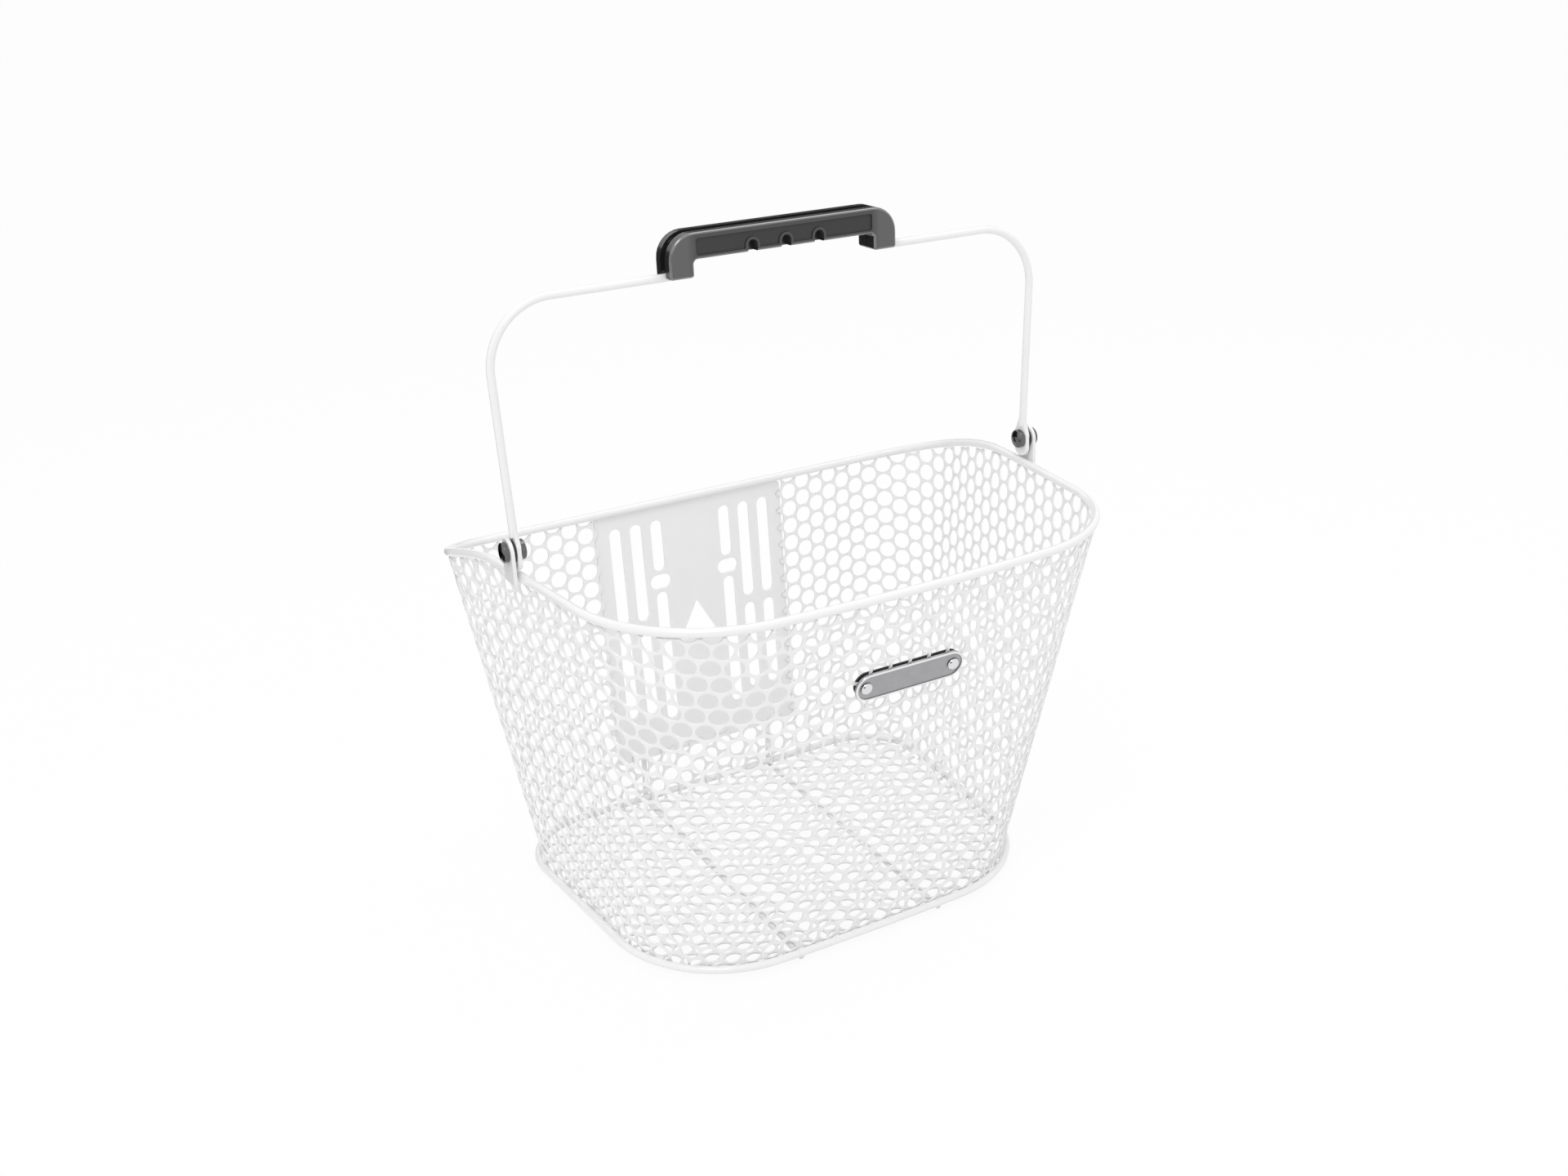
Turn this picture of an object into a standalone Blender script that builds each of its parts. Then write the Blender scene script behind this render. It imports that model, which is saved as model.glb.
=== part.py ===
"""A wire and perforated sheet handlebar basket with a swinging carrying bail, built piece by piece.

Metres, +Z up. X runs across the basket, +Y points at the bicycle and -Y is the front with the badge.
The origin lies on the ground, under the middle of the rim.
"""

import math

import bmesh
import bpy
from mathutils import Matrix, Vector

for old in list(bpy.data.objects):
    bpy.data.objects.remove(old, do_unlink=True)

# Gap left between pieces that touch or are welded on the real basket
GAP = 0.0003

# How finely turned pieces are divided, and the distance at which mesh points count as one
ROUND_STEPS = 24
SMALL_STEPS = 16
MERGE = 1e-6

# Rim, measured to the middle of its wire
RIM_WIRE = 0.0050
RIM_DEPTH = 0.2686
RIM_BACK_HALF = 0.1798
RIM_SIDE_ANGLE = math.radians(6.6)
RIM_BACK_RADIUS = 0.048
RIM_FRONT_RADIUS = 0.081
RIM_BOW_RADIUS = 1.20
RIM_HEIGHT = 0.2330
RIM_BACK_DROP = 0.0278
RIM_DROP_RUN = 0.140

# Base ring, measured to the middle of its wire
RING_WIRE = 0.0045
RING_DEPTH = 0.2111
RING_BACK_HALF = 0.1444
RING_SIDE_ANGLE = math.radians(4.6)
RING_BACK_RADIUS = 0.043
RING_FRONT_RADIUS = 0.074
RING_BOW_RADIUS = 2.0
BACK_LEAN = 0.0061

# Perforated sheet of the walls and floor. Its cells, each one opening and half of the webs round it, are
# about 2.6 times as wide as the 12 mm pitch of the real holes, so that they stay few. The webs are as wide
# as the real sheet's open share asks.
SHEET = 0.0010
CELL_PITCH = 0.0310
CELL_WEB = 0.0046
CELL_ROWS_BELOW = 2
CELL_ROWS_ABOVE = 7
WINDOW_CELLS = 4
SMALLEST_OPENING = 0.2

# Rods under the floor
ROD_WIRE = 0.0035
ROD_SPACING = 0.095
ROD_TIP_INSET = 0.002
ROD_WELD_LENGTH = 0.020

# Mounting plate on the back wall and its slots
PLATE_WIDTH = 0.134
PLATE_THICKNESS = 0.0015
PLATE_BOTTOM = 0.0300
PLATE_OVERLAP = 0.0040
PLATE_CORNER = 0.0030
SLOT_WIDTH = 0.0080
SLOT_PITCH = 0.01435
SLOT_INNER = 0.0245
SLOT_TOP = 0.0092
LONG_SLOT = 0.0660
SHORT_SLOT = 0.0343
SLOT_BRIDGE = 0.0054
OVAL_WIDTH = 0.0145
OVAL_HEIGHT = 0.0095
OVAL_BRIDGE = 0.0027
INNER_SLOT = 0.0900
LOWER_SLOT = 0.0610
ARROW_HALF = 0.0140
ARROW_HEIGHT = 0.0258
ARROW_TOP = 0.0691

# Bail and its pivots
BAIL_WIRE = 0.0045
BAIL_HEIGHT = 0.1307
BAIL_FLARE = 0.0043
BAIL_RADIUS = 0.0354
PIVOT_RISE = 0.0147
EYE_RADIUS = 0.0060
EYE_THICKNESS = 0.0026
EYE_TAIL = 0.0050
EYE_NECK = 0.0140
EYE_NECK_WIDTH = 0.0030
EYE_NECK_ANGLE = 40
LUG_WIDTH = 0.0150
LUG_THICKNESS = 0.0020
LUG_TAIL = 0.0030
BOLT_DIAMETER = 0.0050
BOLT_CLEARANCE = 0.0003
BOLT_HEAD_RADIUS = 0.0056
BOLT_HEAD_HEIGHT = 0.0034
WASHER_RADIUS = 0.0062
WASHER_THICKNESS = 0.0012
NUT_RADIUS = 0.0056
NUT_HEIGHT = 0.0036
NUT_ENGAGEMENT = 0.0024

# Grip, two moulded halves screwed together round the bail wire
GRIP_LENGTH = 0.1384
GRIP_THICKNESS = 0.0176
GRIP_SPAN_HEIGHT = 0.0140
GRIP_LEG_DROP = 0.0093
GRIP_LEG_WIDTH = 0.0140
GRIP_CORNER = 0.0140
GRIP_ROUNDING = 0.0014
GRIP_GROOVE_DEPTH = 0.0030
GRIP_WIRE_PLAY = 0.0007
GRIP_WIRE_BEND = 0.0050
GRIP_WIRE_RISE = 0.0080
NOTCH_WIDTH = 0.0058
NOTCH_DEPTH = 0.0064
NOTCH_PITCH = 0.0203
NOTCH_BORDER = 0.0014
PANEL_LENGTH = 0.1074
PANEL_MARGIN = 0.0020
PANEL_TOP_MARGIN = 0.0030
PANEL_DEPTH = 0.0008
SCREW_DIAMETER = 0.0025
SCREW_HEAD_RADIUS = 0.0021
SCREW_HEAD_HEIGHT = 0.0014
SCREW_HEAD_SINK = 0.0012
SCREW_LENGTH = 0.0110
SCREW_INSET = 0.0080
SCREW_RISE = 0.0034

# Badge on the front wall, riveted through the sheet to a backing plate
BADGE_LENGTH = 0.0670
BADGE_HEIGHT = 0.0165
BADGE_THICKNESS = 0.0018
BADGE_RISE = 0.1804
BADGE_BORDER = 0.0011
BADGE_RECESS = 0.0006
BACKING_INSET = 0.0010
BACKING_THICKNESS = 0.0012
RIVET_SPACING = 0.0540
RIVET_SHANK = 0.0032
RIVET_HEAD_RADIUS = 0.0035
RIVET_HEAD_HEIGHT = 0.0016
RIVET_TAIL_RADIUS = 0.0028
RIVET_TAIL_HEIGHT = 0.0014

# Places that follow from the sizes above
RIM_Y = RIM_DEPTH / 2
RING_Z = ROD_WIRE + GAP + RING_WIRE / 2
RING_BACK_Y = RIM_Y - BACK_LEAN
RING_FRONT_Y = RING_BACK_Y - RING_DEPTH
RIM_Z = RING_Z + RIM_HEIGHT
RIM_BACK_Z = RIM_Z - RIM_BACK_DROP
WALL_BOTTOM_Z = RING_Z - RING_WIRE / 2
PIVOT_Z = RIM_Z + PIVOT_RISE
WINDOW_HALF = PLATE_WIDTH / 2 - PLATE_OVERLAP
SILL_Z = RING_Z + PLATE_BOTTOM + PLATE_OVERLAP


def material(name, colour, roughness, metallic):
    """A Principled material with one colour."""
    made = bpy.data.materials.new(name)
    made.use_nodes = True
    shader = made.node_tree.nodes["Principled BSDF"]
    shader.inputs["Base Color"].default_value = (*colour, 1.0)
    shader.inputs["Roughness"].default_value = roughness
    shader.inputs["Metallic"].default_value = metallic
    return made


WHITE = material("white_powder_coat", (0.86, 0.86, 0.86), 0.35, 0.0)
BLACK = material("black_grip_plastic", (0.025, 0.025, 0.027), 0.45, 0.0)
CHROME = material("chrome_hardware", (0.75, 0.75, 0.76), 0.12, 1.0)
PEWTER = material("badge_metal", (0.30, 0.30, 0.31), 0.35, 1.0)
BACKING = material("black_backing", (0.02, 0.02, 0.02), 0.5, 0.0)
NYLON = material("black_nylon", (0.02, 0.02, 0.021), 0.5, 0.0)
ZINC = material("zinc_screw", (0.55, 0.55, 0.56), 0.3, 1.0)


def place(name, data, coat, parent=None):
    """Puts mesh or curve data in the scene as one named piece."""
    piece = bpy.data.objects.new(name, data)
    bpy.context.scene.collection.objects.link(piece)
    piece.parent = parent
    data.materials.append(coat)
    return piece


def empty(name, location, rotation=(0.0, 0.0, 0.0)):
    """A frame that pieces are parented to."""
    frame = bpy.data.objects.new(name, None)
    frame.location = location
    frame.rotation_euler = rotation
    bpy.context.scene.collection.objects.link(frame)
    return frame


def finish(mesh, builder, smooth):
    """Writes a bmesh with outward faces into a mesh."""
    bmesh.ops.recalc_face_normals(builder, faces=builder.faces)
    for face in builder.faces:
        face.smooth = smooth
    builder.to_mesh(mesh)
    builder.free()
    return mesh


def wire_curve(name, points, diameter, closed=False, sides=2):
    """A round wire along the points, with its ends capped."""
    curve = bpy.data.curves.new(name, "CURVE")
    curve.dimensions = "3D"
    curve.bevel_depth = diameter / 2
    curve.bevel_resolution = sides
    curve.use_fill_caps = True
    spline = curve.splines.new("POLY")
    spline.points.add(len(points) - 1)
    for spot, point in zip(spline.points, points):
        spot.co = (*point, 1.0)
    spline.use_cyclic_u = closed
    spline.use_smooth = True
    return curve


def as_mesh(curve):
    """The solid of a curve as a welded mesh, for Booleans."""
    holder = bpy.data.objects.new(curve.name, curve)
    bpy.context.scene.collection.objects.link(holder)
    graph = bpy.context.evaluated_depsgraph_get()
    mesh = bpy.data.meshes.new_from_object(holder.evaluated_get(graph))
    bpy.data.objects.remove(holder, do_unlink=True)
    builder = bmesh.new()
    builder.from_mesh(mesh)
    bmesh.ops.remove_doubles(builder, verts=builder.verts, dist=MERGE)
    return finish(mesh, builder, True)


def sheet_curve(name, loops, thickness):
    """A flat plate in local XY with holes, as thick each side of z = 0."""
    curve = bpy.data.curves.new(name, "CURVE")
    curve.dimensions = "2D"
    curve.fill_mode = "BOTH"
    curve.extrude = thickness / 2
    for loop in loops:
        spline = curve.splines.new("POLY")
        spline.points.add(len(loop) - 1)
        for spot, (u, v) in zip(spline.points, loop):
            spot.co = (u, v, 0.0, 1.0)
        spline.use_cyclic_u = True
        spline.use_smooth = False
    return curve


def turned_mesh(name, profile, steps=ROUND_STEPS):
    """A solid of revolution about local X from a closed profile of (x, radius) points."""
    mesh = bpy.data.meshes.new(name)
    builder = bmesh.new()
    corners = [builder.verts.new((x, 0.0, radius)) for x, radius in profile]
    edges = [builder.edges.new((corners[i - 1], corners[i])) for i in range(len(corners))]
    bmesh.ops.spin(
        builder,
        geom=corners + edges,
        cent=(0.0, 0.0, 0.0),
        axis=(1.0, 0.0, 0.0),
        angle=math.tau,
        steps=steps,
        use_merge=True,
    )
    bmesh.ops.remove_doubles(builder, verts=builder.verts, dist=MERGE)
    bmesh.ops.dissolve_degenerate(builder, edges=builder.edges, dist=MERGE)
    return finish(mesh, builder, True)


def stacked_mesh(name, loops):
    """A solid skinned over closed loops of equal count, which may touch, and capped at both ends."""
    mesh = bpy.data.meshes.new(name)
    builder = bmesh.new()
    rings = [[builder.verts.new(point) for point in loop] for loop in loops]
    for low, high in zip(rings, rings[1:]):
        for i in range(len(low)):
            builder.faces.new((low[i - 1], low[i], high[i], high[i - 1]))
    builder.faces.new(rings[0])
    builder.faces.new(rings[-1])
    bmesh.ops.remove_doubles(builder, verts=builder.verts, dist=MERGE)
    return finish(mesh, builder, False)


def cutter(name, mesh, matrix=None):
    """A hidden tool for a Boolean."""
    tool = bpy.data.objects.new(name, mesh)
    bpy.context.scene.collection.objects.link(tool)
    tool.hide_render = True
    tool.display_type = "WIRE"
    if matrix is not None:
        tool.matrix_world = matrix
    return tool


def boolean(piece, tool, operation):
    """Joins a tool to a piece or cuts it away."""
    step = piece.modifiers.new(tool.name, "BOOLEAN")
    step.operation = operation
    step.solver = "EXACT"
    step.object = tool


def arc(centre, radius, start, end, count):
    """Points along a circular arc in degrees, both ends included."""
    found = []
    for i in range(count):
        angle = math.radians(start + (end - start) * i / (count - 1))
        found.append((centre[0] + radius * math.cos(angle), centre[1] + radius * math.sin(angle)))
    return found


def slot(u, top, length, width):
    """A round-ended upright slot that starts at height top and runs down."""
    radius = width / 2
    upper = arc((u, top - radius), radius, 0, 180, 7)
    lower = arc((u, top - length + radius), radius, 180, 360, 7)
    return upper + lower


def rounded_box(width, low, high, radius):
    """A rectangle with rounded corners, centred on u = 0."""
    half = width / 2
    return (
        arc((half - radius, high - radius), radius, 0, 90, 4)
        + arc((radius - half, high - radius), radius, 90, 180, 4)
        + arc((radius - half, low + radius), radius, 180, 270, 4)
        + arc((half - radius, low + radius), radius, 270, 360, 4)
    )


class Outline:
    """Half of a basket outline seen from above: back line, corner, leaning side, corner, bowed front."""

    def __init__(self, half, back, front, angle, back_radius, front_radius, bow):
        self.half, self.back, self.front, self.angle = half, back, front, angle
        self.back_radius, self.front_radius, self.bow = back_radius, front_radius, bow

    def inset(self, distance):
        """The same outline moved inwards."""
        slide = distance * (1 + math.sin(self.angle)) / math.cos(self.angle)
        return Outline(
            self.half - slide,
            self.back - distance,
            self.front + distance,
            self.angle,
            self.back_radius - distance,
            self.front_radius - distance,
            self.bow - distance,
        )

    def side_x(self, y):
        """Where the side line lies at a given y."""
        return self.half - (self.back - y) * math.tan(self.angle)

    def right_half(self, stop):
        """Points from the back middle to the front middle; stop is an extra point on the back line."""
        lean = math.degrees(self.angle)
        inward = Vector((-math.cos(self.angle), math.sin(self.angle)))
        along = Vector((-math.sin(self.angle), -math.cos(self.angle)))
        corner = Vector((self.half, self.back))
        slide = self.back_radius * (1 + math.sin(self.angle)) / math.cos(self.angle)
        back_centre = (self.half - slide, self.back - self.back_radius)
        bow_centre = Vector((0.0, self.front + self.bow))
        start = corner + self.front_radius * inward - bow_centre
        reach = start.dot(along)
        short = start.dot(start) - (self.bow - self.front_radius) ** 2
        front_centre = bow_centre + start + along * (-reach + math.sqrt(reach * reach - short))
        turn = front_centre - bow_centre
        end = math.degrees(math.atan2(turn.y, turn.x))
        points = [(0.0, self.back), (stop, self.back)]
        points += arc(back_centre, self.back_radius, 90, -lean, 9)
        side_start = Vector(points[-1])
        front_arc = arc(front_centre, self.front_radius, -lean, end, 10)
        side_end = Vector(front_arc[0])
        for i in range(1, 8):
            points.append(tuple(side_start.lerp(side_end, i / 8)))
        points += front_arc
        points += arc(bow_centre, self.bow, end, -90, 4)[1:]
        return points

    def loop(self, stop):
        """The whole outline, once round."""
        right = self.right_half(stop)
        left = [(-x, y) for x, y in reversed(right[1:-1])]
        return right + left


def rim_drop(points):
    """How far the rim has sunk at each outline point: it dips towards the back round the corners."""
    right = points[: len(points) // 2 + 1]
    length = [0.0]
    for here, there in zip(right, right[1:]):
        length.append(length[-1] + math.dist(here, there))
    corner = length[2]
    drops = []
    for run in length:
        share = min(max((corner + RIM_DROP_RUN - run) / RIM_DROP_RUN, 0.0), 1.0)
        drops.append(RIM_BACK_DROP * share * share * (3 - 2 * share))
    return drops + list(reversed(drops[1:-1]))


RIM = Outline(
    RIM_BACK_HALF, RIM_Y, -RIM_Y, RIM_SIDE_ANGLE, RIM_BACK_RADIUS, RIM_FRONT_RADIUS, RIM_BOW_RADIUS
)
RING = Outline(
    RING_BACK_HALF,
    RING_BACK_Y,
    RING_FRONT_Y,
    RING_SIDE_ANGLE,
    RING_BACK_RADIUS,
    RING_FRONT_RADIUS,
    RING_BOW_RADIUS,
)
FRONT_TILT = math.atan2(RIM_Y + RING_FRONT_Y, RIM_HEIGHT)
SIDE_TILT = math.atan2(RIM_BACK_HALF - RING_BACK_HALF, RIM_HEIGHT - RIM_BACK_DROP)
STEEPEST = max(FRONT_TILT, SIDE_TILT)
WALL_INSET = (RING_WIRE / 2 + SHEET / 2 + GAP) / math.cos(STEEPEST) + RING_WIRE / 2 * math.tan(STEEPEST)
WALL_FOOT = RING.inset(WALL_INSET)

# Rim wire: one bent and welded hoop, lower along the back
rim_plan = RIM.loop(WINDOW_HALF)
rim_path = [(x, y, RIM_Z - drop) for (x, y), drop in zip(rim_plan, rim_drop(rim_plan))]
place("rim_wire", wire_curve("rim_wire", rim_path, RIM_WIRE, closed=True), WHITE)

# Base ring: a flat hoop outside the foot of the walls
ring_path = [(x, y, RING_Z) for x, y in RING.loop(WINDOW_HALF)]
place("base_ring", wire_curve("base_ring", ring_path, RING_WIRE, closed=True), WHITE)

# The wall's foot and top edge, point by point round the basket
FOOT = [Vector((x, y, WALL_BOTTOM_Z)) for x, y in WALL_FOOT.loop(WINDOW_HALF)]
TOP = [Vector((x, y, z - RIM_WIRE / 2 - 2 * GAP)) for x, y, z in rim_path]


def wall_point(low, high, z):
    """The point at height z on the wall line that joins a foot point to a top point."""
    return low.lerp(high, (z - low.z) / (high.z - low.z))


def even_columns(lines, count):
    """Wall lines at even steps along a run of given ones, each with its foot, top and floor edge."""
    middles = [foot.lerp(top, 0.5) for foot, top, _ in lines]
    lengths = [(there - here).length for here, there in zip(middles, middles[1:])]
    step = sum(lengths) / count
    found = []
    at, passed = 0, 0.0
    for i in range(count):
        while passed + lengths[at] < i * step:
            passed += lengths[at]
            at += 1
        share = (i * step - passed) / lengths[at]
        found.append([here.lerp(there, share) for here, there in zip(lines[at], lines[at + 1])])
    return found


# Wall mesh: one perforated sheet wrapped round the basket, with a window behind the plate. Its six-sided
# cells stand in staggered rows that start at the window's right edge, with two columns to a cell.
floor_inset = SHEET / 2 + GAP
floor_edge = [Vector((x, y, 0.0)) for x, y in WALL_FOOT.inset(floor_inset).loop(WINDOW_HALF)]
lines = list(zip(FOOT, TOP, floor_edge))
back_run = [lines[-1], lines[0], lines[1]]
front_run = lines[1:]
middles = [foot.lerp(top, 0.5) for foot, top, _ in front_run]
front_length = sum(math.dist(here, there) for here, there in zip(middles, middles[1:]))
window_edge = 2 * round(front_length / CELL_PITCH)
columns = even_columns(front_run, window_edge) + even_columns(back_run, 2 * WINDOW_CELLS)
sill = (SILL_Z - WALL_BOTTOM_Z) / (TOP[0].z - WALL_BOTTOM_Z)
heights = [sill * row / CELL_ROWS_BELOW for row in range(CELL_ROWS_BELOW)]
heights += [sill + (1 - sill) * row / CELL_ROWS_ABOVE for row in range(CELL_ROWS_ABOVE + 1)]
rows = len(heights) - 1
builder = bmesh.new()
spots = {}


def cell_corner(column, row):
    """A corner of the cells. Rows meet in a zigzag, but run straight at the foot, the top and the sill."""
    column %= len(columns)
    if (column, row) not in spots:
        height = heights[row]
        at_sill = row == CELL_ROWS_BELOW and not 0 < column < window_edge
        if row not in (0, rows) and not at_sill:
            swing = (heights[row + 1] - height) / 6
            height += swing if (column - row) % 2 else -swing
        foot, top, _ = columns[column]
        spots[column, row] = builder.verts.new(foot.lerp(top, height))
    return spots[column, row]


cells = []
for row in range(rows):
    for middle in range(row % 2, len(columns), 2):
        span = [middle - 1, middle, middle + 1]
        if row >= CELL_ROWS_BELOW:
            span = [column for column in span if 0 <= column <= window_edge]
        if len(span) > 1:
            lower = [cell_corner(column, row) for column in span]
            upper = [cell_corner(column, row + 1) for column in reversed(span)]
            cells.append(builder.faces.new(lower + upper))
bmesh.ops.recalc_face_normals(builder, faces=cells)
bmesh.ops.inset_individual(builder, faces=cells, thickness=CELL_WEB / 2, use_even_offset=True)
bmesh.ops.delete(builder, geom=cells, context="FACES_ONLY")
wall_mesh = finish(bpy.data.meshes.new("wall_mesh"), builder, False)
wall_piece = place("wall_mesh", wall_mesh, WHITE)
thicken = wall_piece.modifiers.new("sheet", "SOLIDIFY")
thicken.thickness = SHEET
thicken.offset = 0.0
thicken.use_even_offset = True


def clipped(loop, outline):
    """The part of a convex loop inside a convex outline that runs clockwise."""
    for start, end in zip(outline, outline[1:] + outline[:1]):
        inward = Vector((end[1] - start[1], start[0] - end[0]))
        depths = [inward.dot(Vector(point) - Vector(start)) for point in loop]
        kept = []
        for i, point in enumerate(loop):
            before, depth = depths[i - 1], depths[i]
            if before * depth < 0:
                kept.append(tuple(Vector(loop[i - 1]).lerp(Vector(point), before / (before - depth))))
            if depth >= 0:
                kept.append(point)
        loop = kept
    return [point for i, point in enumerate(loop) if math.dist(point, loop[i - 1]) > GAP]


def area(loop):
    """The area inside a loop."""
    return abs(sum(a[0] * b[1] - b[0] * a[1] for a, b in zip(loop, loop[1:] + loop[:1]))) / 2


# Floor mesh: a flat perforated sheet inside the foot of the walls, its rows of openings from front to back
floor_loops = [[(edge.x, edge.y) for _, _, edge in columns]]
open_to = WALL_FOOT.inset(floor_inset + CELL_WEB).loop(WINDOW_HALF)
opening_radius = (CELL_PITCH - CELL_WEB) / math.sqrt(3)
row_pitch = CELL_PITCH * math.sqrt(3) / 2
outermost = round(RING_BACK_HALF / row_pitch)
for row in range(-outermost, outermost + 1):
    for step in range(round(RING_DEPTH / CELL_PITCH) + 1):
        middle = (row * row_pitch, RING_FRONT_Y + (step + row % 2 / 2) * CELL_PITCH)
        opening = clipped(arc(middle, opening_radius, 0, 300, 6), open_to)
        if area(opening) > SMALLEST_OPENING * CELL_PITCH * CELL_PITCH:
            floor_loops.append(opening)
floor = place("floor_mesh", sheet_curve("floor_mesh", floor_loops, SHEET), WHITE)
floor.location.z = WALL_BOTTOM_Z + SHEET / 2

# Back plate: a slotted plate that closes the window from outside, where the bracket bolts on
back_foot = FOOT[0]
back_top = TOP[0]
BACK_TILT = math.atan2(back_top.y - back_foot.y, back_top.z - back_foot.z)
plate_low = wall_point(back_foot, back_top, RING_Z + PLATE_BOTTOM)
plate_height = (RIM_BACK_Z - RIM_WIRE / 2 - GAP - plate_low.z) / math.cos(BACK_TILT)
plate_outset = SHEET / 2 + GAP + PLATE_THICKNESS / 2
plate_frame = empty("plate_frame", plate_low, (math.pi / 2 - BACK_TILT, 0.0, 0.0))
slot_top = plate_height - SLOT_TOP
oval_top = slot_top - SHORT_SLOT - OVAL_BRIDGE
plate_loops = [rounded_box(PLATE_WIDTH, 0.0, plate_height, PLATE_CORNER)]
for side in (-1, 1):
    inner = side * SLOT_INNER
    plate_loops.append(slot(inner, slot_top, SHORT_SLOT, SLOT_WIDTH))
    oval_half = OVAL_WIDTH / 2 - OVAL_HEIGHT / 2
    oval_z = oval_top - OVAL_HEIGHT / 2
    plate_loops.append(
        arc((inner + oval_half, oval_z), OVAL_HEIGHT / 2, -90, 90, 7)
        + arc((inner - oval_half, oval_z), OVAL_HEIGHT / 2, 90, 270, 7)
    )
    plate_loops.append(slot(inner, oval_top - OVAL_HEIGHT - OVAL_BRIDGE, INNER_SLOT, SLOT_WIDTH))
    for step in (1, 2):
        outer = side * (SLOT_INNER + step * SLOT_PITCH)
        plate_loops.append(slot(outer, slot_top, LONG_SLOT, SLOT_WIDTH))
        plate_loops.append(slot(outer, slot_top - LONG_SLOT - SLOT_BRIDGE, LOWER_SLOT, SLOT_WIDTH))
arrow_top = plate_height - ARROW_TOP
plate_loops.append(
    [(0.0, arrow_top), (-ARROW_HALF, arrow_top - ARROW_HEIGHT), (ARROW_HALF, arrow_top - ARROW_HEIGHT)]
)
plate = place("back_plate", sheet_curve("back_plate", plate_loops, PLATE_THICKNESS), WHITE, plate_frame)
plate.location.z = -plate_outset

# Support rods: welded to the outside of the plate, bent round the base ring and run forward under the floor
rod_radius = ROD_WIRE / 2
bend = RING_WIRE / 2 + GAP + rod_radius
weld_z = plate_low.z + ROD_WELD_LENGTH
behind_plate = (plate_outset + PLATE_THICKNESS / 2 + GAP + rod_radius) / math.cos(BACK_TILT)
rod_plan = [
    (wall_point(back_foot, back_top, weld_z).y + behind_plate, weld_z),
    (plate_low.y + behind_plate, plate_low.z),
]
rod_plan += arc((RING_BACK_Y, RING_Z), bend, 0, -90, 8)
rod_plan.append((RING_FRONT_Y + ROD_TIP_INSET, RING_Z - bend))
for label, side in (("left", -1), ("right", 1)):
    rod_path = [(side * ROD_SPACING / 2, y, z) for y, z in rod_plan]
    name = "support_rod_" + label
    place(name, wire_curve(name, rod_path, ROD_WIRE), WHITE)

# Pivot stack, outwards from the basket: nut, bail eye, washer, lug, bolt head
lug_inner = RIM.side_x(LUG_WIDTH / 2) + RIM_WIRE / 2 / math.cos(RIM_SIDE_ANGLE) + GAP
washer_inner = lug_inner - GAP - WASHER_THICKNESS
eye_middle = washer_inner - GAP - EYE_THICKNESS / 2
nut_outer = eye_middle - EYE_THICKNESS / 2 - GAP
head_inner = lug_inner + LUG_THICKNESS + GAP
bolt_radius = BOLT_DIAMETER / 2
hole_radius = bolt_radius + BOLT_CLEARANCE
hole = arc((0.0, 0.0), hole_radius, 0, 360 - 360 / ROUND_STEPS, ROUND_STEPS)
lug_half = LUG_WIDTH / 2
lug_low = -PIVOT_RISE - LUG_TAIL
lug_loop = arc((0.0, 0.0), lug_half, 0, 180, 13) + [(-lug_half, lug_low), (lug_half, lug_low)]
upright = Matrix(((0, 0, 1, 0), (1, 0, 0, 0), (0, 1, 0, 0), (0, 0, 0, 1)))
for label, side in (("left", -1), ("right", 1)):
    frame = empty("pivot_" + label, (0.0, 0.0, PIVOT_Z), (0.0, 0.0, 0.0 if side > 0 else math.pi))

    # Lug: a round-topped tab welded to the outside of the rim
    name = "bail_lug_" + label
    lug = place(name, sheet_curve(name, [lug_loop, hole], LUG_THICKNESS), WHITE, frame)
    lug.matrix_local = Matrix.Translation((lug_inner + LUG_THICKNESS / 2, 0.0, 0.0)) @ upright

    # Bolt: domed head outside the lug, plain shank into the nut
    tip = nut_outer - NUT_ENGAGEMENT
    dome = arc((head_inner, 0.0), 1.0, 0, 90, 6)
    head = [(head_inner + (x - head_inner) * BOLT_HEAD_HEIGHT, y * BOLT_HEAD_RADIUS) for x, y in dome]
    bolt_profile = [(tip, 0.0), *head, (head_inner, bolt_radius), (tip, bolt_radius)]
    name = "pivot_bolt_" + label
    place(name, turned_mesh(name, bolt_profile), CHROME, frame)

    # Washer of black nylon between the lug and the bail eye
    washer_outer = washer_inner + WASHER_THICKNESS
    washer_profile = [
        (washer_inner, hole_radius),
        (washer_outer, hole_radius),
        (washer_outer, WASHER_RADIUS),
        (washer_inner, WASHER_RADIUS),
    ]
    name = "pivot_washer_" + label
    place(name, turned_mesh(name, washer_profile), NYLON, frame)

    # Cap nut: a low blind nut with a domed end on the inside of the eye
    cap = nut_outer - NUT_HEIGHT
    crown = NUT_HEIGHT - NUT_ENGAGEMENT
    rise = arc((0.0, 0.0), 1.0, 180, 90, 5)
    dome = [(cap + crown + x * crown, y * NUT_RADIUS) for x, y in rise]
    nut_profile = [
        *dome,
        (nut_outer, NUT_RADIUS),
        (nut_outer, hole_radius),
        (tip - GAP, hole_radius),
        (tip - GAP, 0.0),
    ]
    name = "pivot_nut_" + label
    place(name, turned_mesh(name, nut_profile), CHROME, frame)

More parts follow.
